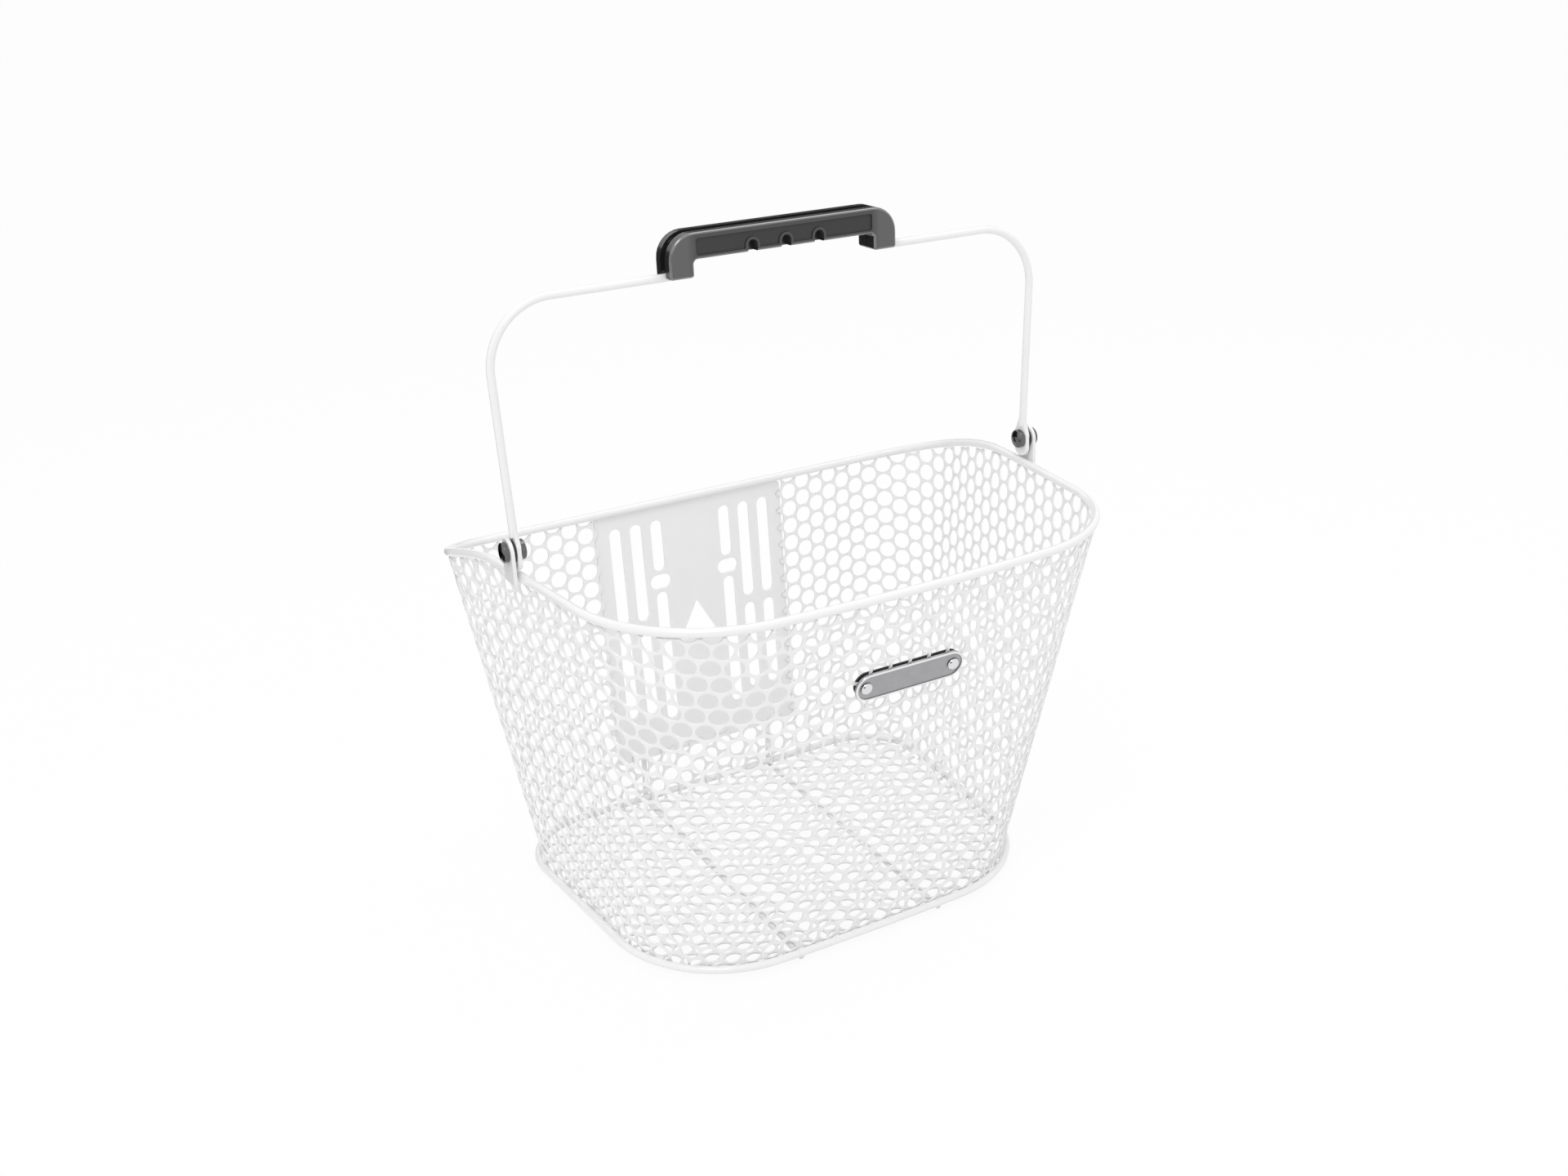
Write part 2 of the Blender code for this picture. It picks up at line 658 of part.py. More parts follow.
# Bail: one wire with flattened eyes, stepped up inside the grip; its frame is the hinge axis
bail_frame = empty("bail_hinge", (0.0, 0.0, PIVOT_Z))
wire_radius = BAIL_WIRE / 2
leg_tilt = math.atan2(BAIL_FLARE, BAIL_HEIGHT)
corner_run = BAIL_RADIUS * math.tan((math.pi / 2 + leg_tilt) / 2)
grip_half = GRIP_LENGTH / 2
leg_wire_x = grip_half - GRIP_LEG_WIDTH / 2
leg_low = BAIL_HEIGHT + wire_radius + GAP - GRIP_GROOVE_DEPTH
span_low = leg_low + GRIP_LEG_DROP
grip_top = span_low + GRIP_SPAN_HEIGHT
wire_high = span_low + GRIP_WIRE_RISE
wire_start = EYE_RADIUS + wire_radius / 2
right = [(eye_middle + wire_start * math.tan(leg_tilt), wire_start)]
corner_x = eye_middle + BAIL_FLARE - corner_run
right += arc((corner_x, BAIL_HEIGHT - BAIL_RADIUS), BAIL_RADIUS, -math.degrees(leg_tilt), 90, 9)
step_up = arc((leg_wire_x + GRIP_WIRE_BEND, BAIL_HEIGHT + GRIP_WIRE_BEND), GRIP_WIRE_BEND, 270, 180, 6)
step_in = arc((leg_wire_x - GRIP_WIRE_BEND, wire_high - GRIP_WIRE_BEND), GRIP_WIRE_BEND, 0, 90, 6)
hidden = step_up + step_in


def mirrored(half):
    """A wire path in the bail's plane from its right half."""
    left = [(-x, z) for x, z in reversed(half)]
    return [(x, 0.0, z) for x, z in half + left]


bail_path = mirrored(right + hidden)
bail = place("bail_wire", as_mesh(wire_curve("bail_wire", bail_path, BAIL_WIRE)), WHITE, bail_frame)
neck_half = EYE_NECK_WIDTH / 2
eye_loop = arc((0.0, 0.0), EYE_RADIUS, 90 + EYE_NECK_ANGLE, 180, 5)
eye_loop += arc((0.0, -EYE_TAIL), EYE_RADIUS, 180, 360, 13)
eye_loop += arc((0.0, 0.0), EYE_RADIUS, 0, 90 - EYE_NECK_ANGLE, 5)
eye_loop += [(neck_half, EYE_NECK), (-neck_half, EYE_NECK)]
for label, side in (("left", -1), ("right", 1)):
    eye_mesh = as_mesh(sheet_curve("bail_eye_" + label, [eye_loop, hole], EYE_THICKNESS))
    eye_place = Matrix.Translation((side * eye_middle, 0.0, PIVOT_Z)) @ upright
    boolean(bail, cutter("bail_eye_" + label, eye_mesh, eye_place), "UNION")


def grip_outline(inset, groove):
    """The grip seen from the front, a span with two short legs, moved inwards by inset, and by groove along
    the top, both ends and the part of each leg's foot where the wire lies."""
    half = grip_half - inset - groove
    inner = grip_half - GRIP_LEG_WIDTH + inset
    radius = GRIP_CORNER - inset - groove
    high = grip_top - inset - groove
    low = leg_low + inset
    bed = low + groove
    bed_start = leg_wire_x - GRIP_GROOVE_DEPTH
    leg = [(inner, span_low + inset), (inner, low), (bed_start, low), (leg_wire_x, bed)]
    return (
        leg
        + [(half, bed)]
        + arc((half - radius, high - radius), radius, 0, 90, 8)
        + arc((radius - half, high - radius), radius, 90, 180, 8)
        + [(-half, bed)]
        + [(-x, z) for x, z in reversed(leg)]
    )


def notch_arch(middle, low, radius):
    """A round-topped opening in the span's lower edge, from right to left."""
    crown = span_low + NOTCH_DEPTH - NOTCH_WIDTH / 2
    return [(middle + radius, low), *arc((middle, crown), radius, 0, 180, 9), (middle - radius, low)]


notch_radius = NOTCH_WIDTH / 2
notch_middles = (NOTCH_PITCH, 0.0, -NOTCH_PITCH)
notch_loops = [notch_arch(middle, span_low - NOTCH_WIDTH, notch_radius) for middle in notch_middles]
panel_low = span_low + PANEL_MARGIN
panel_half = PANEL_LENGTH / 2
panel_high = grip_top - PANEL_TOP_MARGIN
panel_loop = [(panel_half, panel_high), (-panel_half, panel_high), (-panel_half, panel_low)]
for middle in reversed(notch_middles):
    panel_loop += reversed(notch_arch(middle, panel_low, notch_radius + NOTCH_BORDER))
panel_loop.append((panel_half, panel_low))
groove_half = wire_radius + GRIP_WIRE_PLAY
face = GRIP_THICKNESS / 2
notch_depth = face - groove_half - 2 * GAP
facing = Matrix(((1, 0, 0, 0), (0, 0, 1, 0), (0, 1, 0, 0), (0, 0, 0, 1)))
screw_x = grip_half - GRIP_LEG_WIDTH - SCREW_INSET
screw_z = span_low + SCREW_RISE
screw_seat = face - SCREW_HEAD_SINK - SCREW_HEAD_HEIGHT
screw_tip = screw_seat - SCREW_LENGTH
channel_mesh = as_mesh(wire_curve("wire_channel", mirrored(hidden), BAIL_WIRE + 2 * GAP))
channel = cutter("wire_channel", channel_mesh, Matrix.Translation((0.0, 0.0, PIVOT_Z)))


def bore(name, radius, start, end, place_at):
    """A round cutter along Y from start to end."""
    profile = [(start, 0.0), (start, radius), (end, radius), (end, 0.0)]
    along_y = Matrix.Rotation(math.pi / 2, 4, "Z")
    return cutter(name, turned_mesh(name, profile, SMALL_STEPS), Matrix.Translation(place_at) @ along_y)


for label, side in (("front", -1), ("rear", 1)):
    # Half shell: an outer wall with rounded face edges and a core that holds the wire, beside the groove
    layers = (
        (face, GRIP_ROUNDING, 0.0),
        (face - GRIP_ROUNDING, 0.0, 0.0),
        (groove_half, 0.0, 0.0),
        (groove_half, 0.0, GRIP_GROOVE_DEPTH),
        (GAP / 2, 0.0, GRIP_GROOVE_DEPTH),
    )
    name = "grip_" + label + "_shell"
    loops = [[(x, side * y, z) for x, z in grip_outline(inset, groove)] for y, inset, groove in layers]
    shell = place(name, stacked_mesh(name, loops), BLACK, bail_frame)
    boolean(shell, channel, "DIFFERENCE")
    notches = as_mesh(sheet_curve("notches_" + label, notch_loops, 2 * notch_depth))
    on_face = Matrix.Translation((0.0, side * face, PIVOT_Z)) @ facing
    boolean(shell, cutter("notches_" + label, notches, on_face), "DIFFERENCE")
    panel = as_mesh(sheet_curve("panel_" + label, [panel_loop], 2 * PANEL_DEPTH))
    boolean(shell, cutter("panel_" + label, panel, on_face), "DIFFERENCE")
    for hand in (-1, 1):
        spot = (hand * screw_x, 0.0, PIVOT_Z + screw_z)
        tag = label + ("_left" if hand < 0 else "_right")
        shank = bore("screw_hole_" + tag, SCREW_DIAMETER / 2 + GAP, screw_tip - GAP, face + GAP, spot)
        boolean(shell, shank, "DIFFERENCE")
        if side > 0:
            sink = bore("screw_sink_" + tag, SCREW_HEAD_RADIUS + GAP, screw_seat - GAP, face + GAP, spot)
            boolean(shell, sink, "DIFFERENCE")

# Grip screws: driven from the rear half into the front one
for label, hand in (("left", -1), ("right", 1)):
    name = "grip_screw_" + label
    screw_profile = [
        (screw_tip, 0.0),
        (screw_seat + SCREW_HEAD_HEIGHT, 0.0),
        (screw_seat + SCREW_HEAD_HEIGHT, SCREW_HEAD_RADIUS),
        (screw_seat, SCREW_HEAD_RADIUS),
        (screw_seat, SCREW_DIAMETER / 2),
        (screw_tip, SCREW_DIAMETER / 2),
    ]
    screw = place(name, turned_mesh(name, screw_profile, SMALL_STEPS), ZINC, bail_frame)
    screw.location = (hand * screw_x, 0.0, screw_z)
    screw.rotation_euler = (0.0, 0.0, math.pi / 2)

# Badge, its backing plate and rivets, stacked along the slope of the front wall
front = len(FOOT) // 2
badge_at = wall_point(FOOT[front], TOP[front], RING_Z + BADGE_RISE)
badge_frame = empty("badge_frame", badge_at, (math.pi / 2 + FRONT_TILT, 0.0, 0.0))
badge_bow = (BADGE_LENGTH / 2) ** 2 / (2 * RIM_BOW_RADIUS)
badge_back = SHEET / 2 + GAP
badge_face = badge_back + BADGE_THICKNESS
backing_front = -SHEET / 2 - GAP - badge_bow
backing_back = backing_front - BACKING_THICKNESS
rivet_hole = RIVET_SHANK / 2 + GAP


def stadium(inset):
    """A long outline with round ends, moved inwards by inset."""
    reach = BADGE_LENGTH / 2 - BADGE_HEIGHT / 2
    radius = BADGE_HEIGHT / 2 - inset
    return arc((reach, 0.0), radius, -90, 90, 11) + arc((-reach, 0.0), radius, 90, 270, 11)


def rivet_bore(name, side):
    """A cutter for one rivet hole through the whole stack."""
    reach = BADGE_HEIGHT
    profile = [(-reach, 0.0), (-reach, rivet_hole), (reach, rivet_hole), (reach, 0.0)]
    tool = cutter(name, turned_mesh(name, profile, SMALL_STEPS))
    tool.parent = badge_frame
    tool.location = (side * RIVET_SPACING / 2, 0.0, 0.0)
    tool.rotation_euler = (0.0, -math.pi / 2, 0.0)
    return tool


badge_layers = (
    (badge_back, 0.0),
    (badge_face, 0.0),
    (badge_face, BADGE_BORDER),
    (badge_face - BADGE_RECESS, BADGE_BORDER),
)
badge_loops = [[(x, y, z) for x, y in stadium(inset)] for z, inset in badge_layers]
badge = place("badge_plate", stacked_mesh("badge_plate", badge_loops), PEWTER, badge_frame)
backing_loops = [[(x, y, z) for x, y in stadium(BACKING_INSET)] for z in (backing_back, backing_front)]
backing_mesh = stacked_mesh("badge_backing_plate", backing_loops)
backing = place("badge_backing_plate", backing_mesh, BACKING, badge_frame)
rivet_seat = badge_face - BADGE_RECESS + GAP
rivet_end = backing_back - GAP
for label, side in (("left", -1), ("right", 1)):
    tool = rivet_bore("rivet_hole_" + label, side)
    for holed in (wall_piece, badge, backing):
        boolean(holed, tool, "DIFFERENCE")
    rise = arc((0.0, 0.0), 1.0, 0, 90, 5)
    dome = [(rivet_seat + x * RIVET_HEAD_HEIGHT, y * RIVET_HEAD_RADIUS) for x, y in rise]
    rivet_profile = [
        *dome,
        (rivet_seat, RIVET_SHANK / 2),
        (rivet_end, RIVET_SHANK / 2),
        (rivet_end, RIVET_TAIL_RADIUS),
        (rivet_end - RIVET_TAIL_HEIGHT, RIVET_TAIL_RADIUS),
        (rivet_end - RIVET_TAIL_HEIGHT, 0.0),
    ]
    name = "badge_rivet_" + label
    rivet = place(name, turned_mesh(name, rivet_profile, SMALL_STEPS), CHROME, badge_frame)
    rivet.location = (side * RIVET_SPACING / 2, 0.0, 0.0)
    rivet.rotation_euler = (0.0, -math.pi / 2, 0.0)
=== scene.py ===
"""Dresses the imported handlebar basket: wires, perforated sheet, slotted plate, moulded grip and fittings.

Metres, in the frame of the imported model: +X across the basket, +Y towards the bicycle, +Z up.
"""

import math

import bpy
import numpy as np
from mathutils import Matrix, Vector


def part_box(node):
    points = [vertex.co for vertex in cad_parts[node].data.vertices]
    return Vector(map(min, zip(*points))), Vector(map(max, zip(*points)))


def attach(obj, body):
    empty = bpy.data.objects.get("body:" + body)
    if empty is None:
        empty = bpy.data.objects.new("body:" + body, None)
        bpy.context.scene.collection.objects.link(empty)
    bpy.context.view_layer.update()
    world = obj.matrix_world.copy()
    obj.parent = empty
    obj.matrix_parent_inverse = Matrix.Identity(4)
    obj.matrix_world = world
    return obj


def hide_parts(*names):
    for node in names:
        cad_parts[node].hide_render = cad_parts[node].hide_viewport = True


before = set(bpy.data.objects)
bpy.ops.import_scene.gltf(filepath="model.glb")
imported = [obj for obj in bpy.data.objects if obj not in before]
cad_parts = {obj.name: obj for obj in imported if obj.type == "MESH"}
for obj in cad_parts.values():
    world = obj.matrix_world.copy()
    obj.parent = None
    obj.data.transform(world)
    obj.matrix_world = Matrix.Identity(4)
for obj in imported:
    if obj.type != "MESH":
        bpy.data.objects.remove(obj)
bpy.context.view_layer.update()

# Rim: one hoop of 5 mm steel wire, bent to the outline of the mouth and butt welded, 28 mm lower along the
# back. Like everything that is welded to it, it is powder coated white afterwards.
GAP = 0.0003
HAIR = 1e-6
RIM_WIRE = 0.0050
RIM_Y = 0.1343
RIM_Z = 0.23905
RIM_DROP = 0.0278
RIM_DROP_RUN = 0.140
RIM_SHAPE = (0.1798, RIM_Y, -RIM_Y, math.radians(6.6), 0.048, 0.081, 1.20)
BACK_CORNER_STEPS = 24
FRONT_CORNER_STEPS = 28
SIDE_POINTS = 10
BOW_STEPS = 8
WINDOW_HALF = 0.063
WIRE_ROUNDNESS = 6
WIRE_END = 0.75
WHITE = (0.89, 0.89, 0.89, 1.0)
WHITE_THIN = (0.86, 0.86, 0.857, 1.0)
EDGE_SHADE_GREY = (0.83, 0.83, 0.83, 1.0)


class Shade:
    """One socket of a material. Operators on it add Math nodes, and node() adds any other kind."""

    def __init__(self, socket):
        self.socket = socket

    def node(self, kind, settings, inputs, output=0):
        """Adds a node, sets it up, fills its sockets with values or links, and wraps one of its outputs."""
        tree = self.socket.id_data
        made = tree.nodes.new(kind)
        for name, value in settings.items():
            setattr(made, name, value)
        for name, value in inputs.items():
            if isinstance(value, Shade):
                tree.links.new(value.socket, made.inputs[name])
            else:
                made.inputs[name].default_value = value
        return Shade(made.outputs[output])

    def math(self, operation, first, second):
        return self.node("ShaderNodeMath", {"operation": operation}, {0: first, 1: second})

    def __add__(self, other):
        return self.math("ADD", self, other)

    def __radd__(self, other):
        return self.math("ADD", other, self)

    def __sub__(self, other):
        return self.math("SUBTRACT", self, other)

    def __rsub__(self, other):
        return self.math("SUBTRACT", other, self)

    def __mul__(self, other):
        return self.math("MULTIPLY", self, other)

    def __rmul__(self, other):
        return self.math("MULTIPLY", other, self)

    def __lt__(self, other):
        return self.math("LESS_THAN", self, other)

    def __gt__(self, other):
        return self.math("GREATER_THAN", self, other)

    def __abs__(self):
        return self.math("ABSOLUTE", self, 0.0)

    def noise(self, scale, detail):
        """Soft noise over these coordinates, with its cells as wide as one over the scale."""
        return self.node("ShaderNodeTexNoise", {}, {"Vector": self, "Scale": scale, "Detail": detail})

    def between(self, first, second):
        """A colour mixed from two by this factor."""
        return self.node("ShaderNodeMix", {"data_type": "RGBA"}, {0: self, 6: first, 7: second}, 2)

    def bump(self, strength, distance):
        """A bumped normal from this height."""
        return self.node("ShaderNodeBump", {}, {"Strength": strength, "Distance": distance, "Height": self})


def new_finish(name, constants):
    """A Principled material with its constant sockets set, with its shader and its Object coordinates."""
    coat = bpy.data.materials.new(name)
    coat.use_nodes = True
    shader = coat.node_tree.nodes["Principled BSDF"]
    for socket, value in constants.items():
        shader.inputs[socket].default_value = value
    place = coat.node_tree.nodes.new("ShaderNodeTexCoord")
    return coat, shader, Shade(place.outputs["Object"])


def feed(shader, sockets):
    """Links what changes over the surface to the shader."""
    for socket, value in sockets.items():
        shader.id_data.links.new(value.socket, shader.inputs[socket])


powder_coat, shader, place = new_finish("white_powder_coat", {"Coat Weight": 0.4, "Coat Roughness": 0.06})
peel = place.noise(750.0, 1.0)
cloud = place.noise(45.0, 3.0)
# The sheet's punched and cut edges are painted greyer: painted shade on the hole walls.
painted_shade_edge = place.node("ShaderNodeAttribute", {"attribute_name": "painted_shade_edge"}, {}, "Fac")
feed(
    shader,
    {
        "Base Color": painted_shade_edge.between(cloud.between(WHITE_THIN, WHITE), EDGE_SHADE_GREY),
        "Roughness": 0.26 + 0.12 * cloud,
        "Normal": peel.bump(0.06, 0.0002),
    },
)


def sweep(centre, radius, start, end, steps):
    """Points along an arc in radians, both ends included."""
    turn = np.linspace(start, end, steps + 1)
    return np.stack([centre[0] + radius * np.cos(turn), centre[1] + radius * np.sin(turn)], 1)


def half_outline(shape, inset=0.0):
    """Right half of an outline seen from above: back line, corner, leaning side, corner, bowed front."""
    half, back, front, lean, back_radius, front_radius, bow = shape
    half -= inset * (1 + math.sin(lean)) / math.cos(lean)
    back, front = back - inset, front + inset
    back_radius, front_radius, bow = back_radius - inset, front_radius - inset, bow - inset
    inward = np.array([-math.cos(lean), math.sin(lean)])
    along = np.array([-math.sin(lean), -math.cos(lean)])
    slide = back_radius * (1 + math.sin(lean)) / math.cos(lean)
    bow_centre = np.array([0.0, front + bow])
    start = np.array([half, back]) + front_radius * inward - bow_centre
    reach = start @ along
    run = math.sqrt(reach * reach - start @ start + (bow - front_radius) ** 2) - reach
    turn = start + along * run
    end = math.atan2(turn[1], turn[0])
    corner_middle = (half - slide, back - back_radius)
    back_corner = sweep(corner_middle, back_radius, math.pi / 2, -lean, BACK_CORNER_STEPS)
    front_corner = sweep(bow_centre + turn, front_radius, -lean, end, FRONT_CORNER_STEPS)
    side = np.linspace(back_corner[-1], front_corner[0], SIDE_POINTS)[1:-1]
    bowed = sweep(bow_centre, bow, end, -math.pi / 2, BOW_STEPS)[1:]
    middle = [[0.0, back], [WINDOW_HALF, back]]
    return np.concatenate([middle, back_corner, side, front_corner, bowed])


def whole_outline(right):
    """Closes a right half with its mirror image."""
    left = right[-2:0:-1] * ([-1.0] + [1.0] * (right.shape[1] - 1))
    return np.concatenate([right, left])


def edit(piece):
    """Selects one piece alone and opens it in edit mode with all of it selected."""
    bpy.ops.object.select_all(action="DESELECT")
    piece.select_set(True)
    bpy.context.view_layer.objects.active = piece
    bpy.ops.object.mode_set(mode="EDIT")
    bpy.ops.mesh.select_all(action="SELECT")


def close_up(piece):
    """Merges doubled points and turns every face outwards."""
    edit(piece)
    bpy.ops.mesh.remove_doubles(threshold=HAIR)
    bpy.ops.mesh.normals_make_consistent(inside=False)
    bpy.ops.object.mode_set(mode="OBJECT")


def apply(piece, kind, **settings):
    """Adds one modifier with its settings and applies it."""
    bpy.context.view_layer.objects.active = piece
    step = piece.modifiers.new(kind.lower(), kind)
    for name, value in settings.items():
        setattr(step, name, value)
    bpy.ops.object.modifier_apply(modifier=step.name)


def soften(piece, angle=40.0):
    """Smooth shading that keeps edges sharper than the angle and flat faces flat."""
    bpy.ops.object.select_all(action="DESELECT")
    piece.select_set(True)
    bpy.context.view_layer.objects.active = piece
    bpy.ops.object.shade_smooth_by_angle(angle=math.radians(angle))
    apply(piece, "WEIGHTED_NORMAL", keep_sharp=True)


def bent_wire(name, path, diameter, closed=False):
    """A round wire along a path. Open ends are closed with a small chamfer."""
    bpy.ops.object.select_all(action="DESELECT")
    bpy.ops.curve.primitive_nurbs_path_add()
    wire = bpy.context.object
    wire.name = name
    curve = wire.data
    curve.splines.clear()
    radii = np.ones(len(path))
    if not closed:
        chamfer = diameter / 2 * (1 - WIRE_END)
        ends = []
        for tip, beside in ((path[0], path[1]), (path[-1], path[-2])):
            ends.append(tip + (beside - tip) * chamfer / np.linalg.norm(beside - tip))
        path = np.concatenate([path[:1], ends[:1], path[1:-1], ends[1:], path[-1:]])
        radii = np.concatenate([[WIRE_END], np.ones(len(path) - 2), [WIRE_END]])
    spline = curve.splines.new("POLY")
    spline.points.add(len(path) - 1)
    spline.points.foreach_set("co", np.hstack([path, np.ones((len(path), 1))]).ravel())
    spline.points.foreach_set("radius", radii)
    spline.use_cyclic_u = closed
    curve.bevel_depth = diameter / 2
    curve.bevel_resolution = WIRE_ROUNDNESS
    curve.use_fill_caps = not closed
    bpy.ops.object.convert(target="MESH")
    wire = bpy.context.object
    close_up(wire)
    return wire


def fit(piece, body, coat, slot, *nodes):
    """Paints a finished piece, ties it to its body and hides the CAD nodes that it stands for. The slot is
    not used.
    """
    piece.data.materials.clear()
    piece.data.materials.append(coat)
    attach(piece, body)
    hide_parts(*nodes)


rim_plan = half_outline(RIM_SHAPE)
rim_run = np.concatenate([[0.0], np.cumsum(np.linalg.norm(np.diff(rim_plan, axis=0), axis=1))])
sunk = np.clip((rim_run[2] + RIM_DROP_RUN - rim_run) / RIM_DROP_RUN, 0.0, 1.0)
rim_height = RIM_Z - RIM_DROP * sunk * sunk * (3 - 2 * sunk)
rim_right = np.column_stack([rim_plan, rim_height])
rim = bent_wire("rim_hoop", whole_outline(rim_right), RIM_WIRE, closed=True)
soften(rim)
fit(rim, "basket", powder_coat, "white_powder_coat", "rim_wire")

# Base ring: a flat hoop of 4.5 mm wire round the outside of the foot of the walls, welded to the sheet and
# to the two rods that carry it.
RING_WIRE = 0.0045
RING_Z = 0.00605
RING_SHAPE = (0.1444, 0.1282, -0.0829, math.radians(4.6), 0.043, 0.074, 2.0)
ring_plan = whole_outline(half_outline(RING_SHAPE))
ring_path = np.column_stack([ring_plan, np.full(len(ring_plan), RING_Z)])
ring = bent_wire("foot_hoop", ring_path, RING_WIRE, closed=True)
soften(ring)
fit(ring, "basket", powder_coat, "white_powder_coat", "base_ring")

# Wall: 1 mm sheet steel punched with 10.7 mm holes in staggered rows. It is cut flat from the stock as one
# curved strip, so its rows run level at the front and turn as they go round, wrapped round and welded.
SHEET = 0.0010
HOLE = 0.0107
PITCH = 0.0120
ROW = PITCH * math.sqrt(3) / 2
HOLE_SIDES = 18
WALL_INSET = 0.003622
WALL_FOOT_Z = 0.0038
WALL_TOP_CLEAR = 0.0031
SILL_Z = 0.04005
FRONT_HOLE_HEIGHT = 0.2066
ROWS_BELOW = 32
WALL_COLUMNS = 44
WALL_ROW_PAIRS = 19
TRIM_HEIGHT = 0.24
LEFT_LAP_X = -0.0656
BACK_FROM_Y = 0.11
CELL_MERGE = 1e-5
SEAM_MERGE = 2e-5
CUT_MERGE = 1e-7


def stock_sheet(name, columns, row_pairs):
    """Flat perforated stock from the origin: one six-sided cell with its hole, in staggered rows."""
    bpy.ops.object.select_all(action="DESELECT")
    bpy.ops.mesh.primitive_circle_add(vertices=HOLE_SIDES, radius=HOLE / 2)
    stock = bpy.context.object
    stock.name = name
    corner = PITCH / math.sqrt(3)
    edit(stock)
    bpy.ops.mesh.extrude_edges_move()
    grow = corner / (HOLE / 2)
    bpy.ops.transform.resize(value=(grow, grow, 1.0), center_override=(0.0, 0.0, 0.0))
    bpy.ops.object.mode_set(mode="OBJECT")
    for point in stock.data.vertices:
        turn = math.atan2(point.co.y, point.co.x)
        off = turn - math.pi / 3 * round(turn / (math.pi / 3))
        if point.co.length > PITCH / 2:
            point.co *= PITCH / 2 / math.cos(off) / point.co.length
    edit(stock)
    bpy.ops.mesh.duplicate_move(TRANSFORM_OT_translate={"value": (PITCH / 2, ROW, 0.0)})
    bpy.ops.object.mode_set(mode="OBJECT")
    for count, offset in ((columns, (PITCH, 0.0, 0.0)), (row_pairs, (0.0, 2 * ROW, 0.0))):
        apply(
            stock,
            "ARRAY",
            count=count,
            use_relative_offset=False,
            use_constant_offset=True,
            constant_offset_displace=offset,
        )
    edit(stock)
    bpy.ops.mesh.remove_doubles(threshold=CELL_MERGE)
    bpy.ops.object.mode_set(mode="OBJECT")
    return stock


def points_of(piece):
    """The piece's points as an array."""
    found = np.empty(len(piece.data.vertices) * 3)
    piece.data.vertices.foreach_get("co", found)
    return found.reshape(-1, 3)


def move_points(piece, points):
    """Puts a piece's points in new places."""
    piece.data.vertices.foreach_set("co", np.ascontiguousarray(points).ravel())
    piece.data.update()


def cut(piece, point, normal, wanted=None, keep_all=False):
    """Cuts a sheet with a plane and drops what lies on the normal's side, in all or in the wanted faces."""
    edit(piece)
    bpy.ops.mesh.select_mode(type="FACE")
    if wanted is not None:
        bpy.ops.mesh.select_all(action="DESELECT")
        bpy.ops.object.mode_set(mode="OBJECT")
        middles = np.empty(len(piece.data.polygons) * 3)
        piece.data.polygons.foreach_get("center", middles)
        piece.data.polygons.foreach_set("select", wanted(middles.reshape(-1, 3)))
        bpy.ops.object.mode_set(mode="EDIT")
    bpy.ops.mesh.bisect(plane_co=point, plane_no=normal, clear_outer=not keep_all, threshold=CUT_MERGE)
    bpy.ops.mesh.select_mode(type="VERT")
    bpy.ops.object.mode_set(mode="OBJECT")


def thicken(sheet):
    """Gives a sheet its thickness and marks its punched and cut edges, which are painted greyer as painted
    shade.
    """
    for _ in range(2):
        sheet.data.materials.append(powder_coat)
    apply(sheet, "SOLIDIFY", thickness=SHEET, offset=0.0, material_offset_rim=1)
    edge = np.empty(len(sheet.data.polygons), dtype=np.int32)
    sheet.data.polygons.foreach_get("material_index", edge)
    mark = sheet.data.attributes.new("painted_shade_edge", "FLOAT", "FACE")
    mark.data.foreach_set("value", edge.astype(np.float32))
    sheet.data.polygons.foreach_set("material_index", np.zeros_like(edge))


def third_corner(first, second, from_first, from_second):
    """The corner on the right of a line, at given distances from its two ends."""
    line = second - first
    length = np.linalg.norm(line)
    line = line / length
    forward = (from_first**2 - from_second**2 + length**2) / (2 * length)
    aside = math.sqrt(max(from_first**2 - forward**2, 0.0))
    return first + forward * line + aside * np.array([line[1], -line[0]])


foot_plan = half_outline(RING_SHAPE, WALL_INSET)[::-1]
foot_line = np.column_stack([foot_plan, np.full(len(foot_plan), WALL_FOOT_Z)])
top_line = rim_right[::-1] - (0.0, 0.0, WALL_TOP_CLEAR)
flat_foot = [np.zeros(2)]
flat_top = [np.array([0.0, np.linalg.norm(top_line[0] - foot_line[0])])]
for i in range(1, len(foot_line)):
    along_foot = np.linalg.norm(foot_line[i] - foot_line[i - 1])
    across = np.linalg.norm(foot_line[i] - top_line[i - 1])
    flat_foot.append(third_corner(flat_foot[-1], flat_top[-1], along_foot, across))
    slant = np.linalg.norm(top_line[i] - foot_line[i])
    along_top = np.linalg.norm(top_line[i] - top_line[i - 1])
    flat_top.append(third_corner(flat_foot[-1], flat_top[-1], slant, along_top))
flat_foot, flat_top = np.array(flat_foot), np.array(flat_top)
steps = np.linalg.norm(np.diff((flat_foot + flat_top) / 2, axis=0), axis=1)
stations = np.concatenate([[0.0], np.cumsum(steps)])


def flat_to_strip(flat):
    """Where flat points lie on the strip: how far round from the front, and what share of the way up."""
    lines = flat_top - flat_foot
    off = flat[:, None, :] - flat_foot[None]
    beside = (off[..., 0] * lines[:, 1] - off[..., 1] * lines[:, 0]) / np.linalg.norm(lines, axis=1)
    strip = np.clip((beside >= 0).sum(1) - 1, 0, len(stations) - 2)
    each = np.arange(len(flat))
    near, far = beside[each, strip], beside[each, strip + 1]
    share = (near / (near - far))[:, None]
    foot = flat_foot[strip] + share * (flat_foot[strip + 1] - flat_foot[strip])
    top = flat_top[strip] + share * (flat_top[strip + 1] - flat_top[strip])
    height = ((flat - foot) * (top - foot)).sum(1) / ((top - foot) ** 2).sum(1)
    return stations[strip] + share[:, 0] * (stations[strip + 1] - stations[strip]), height


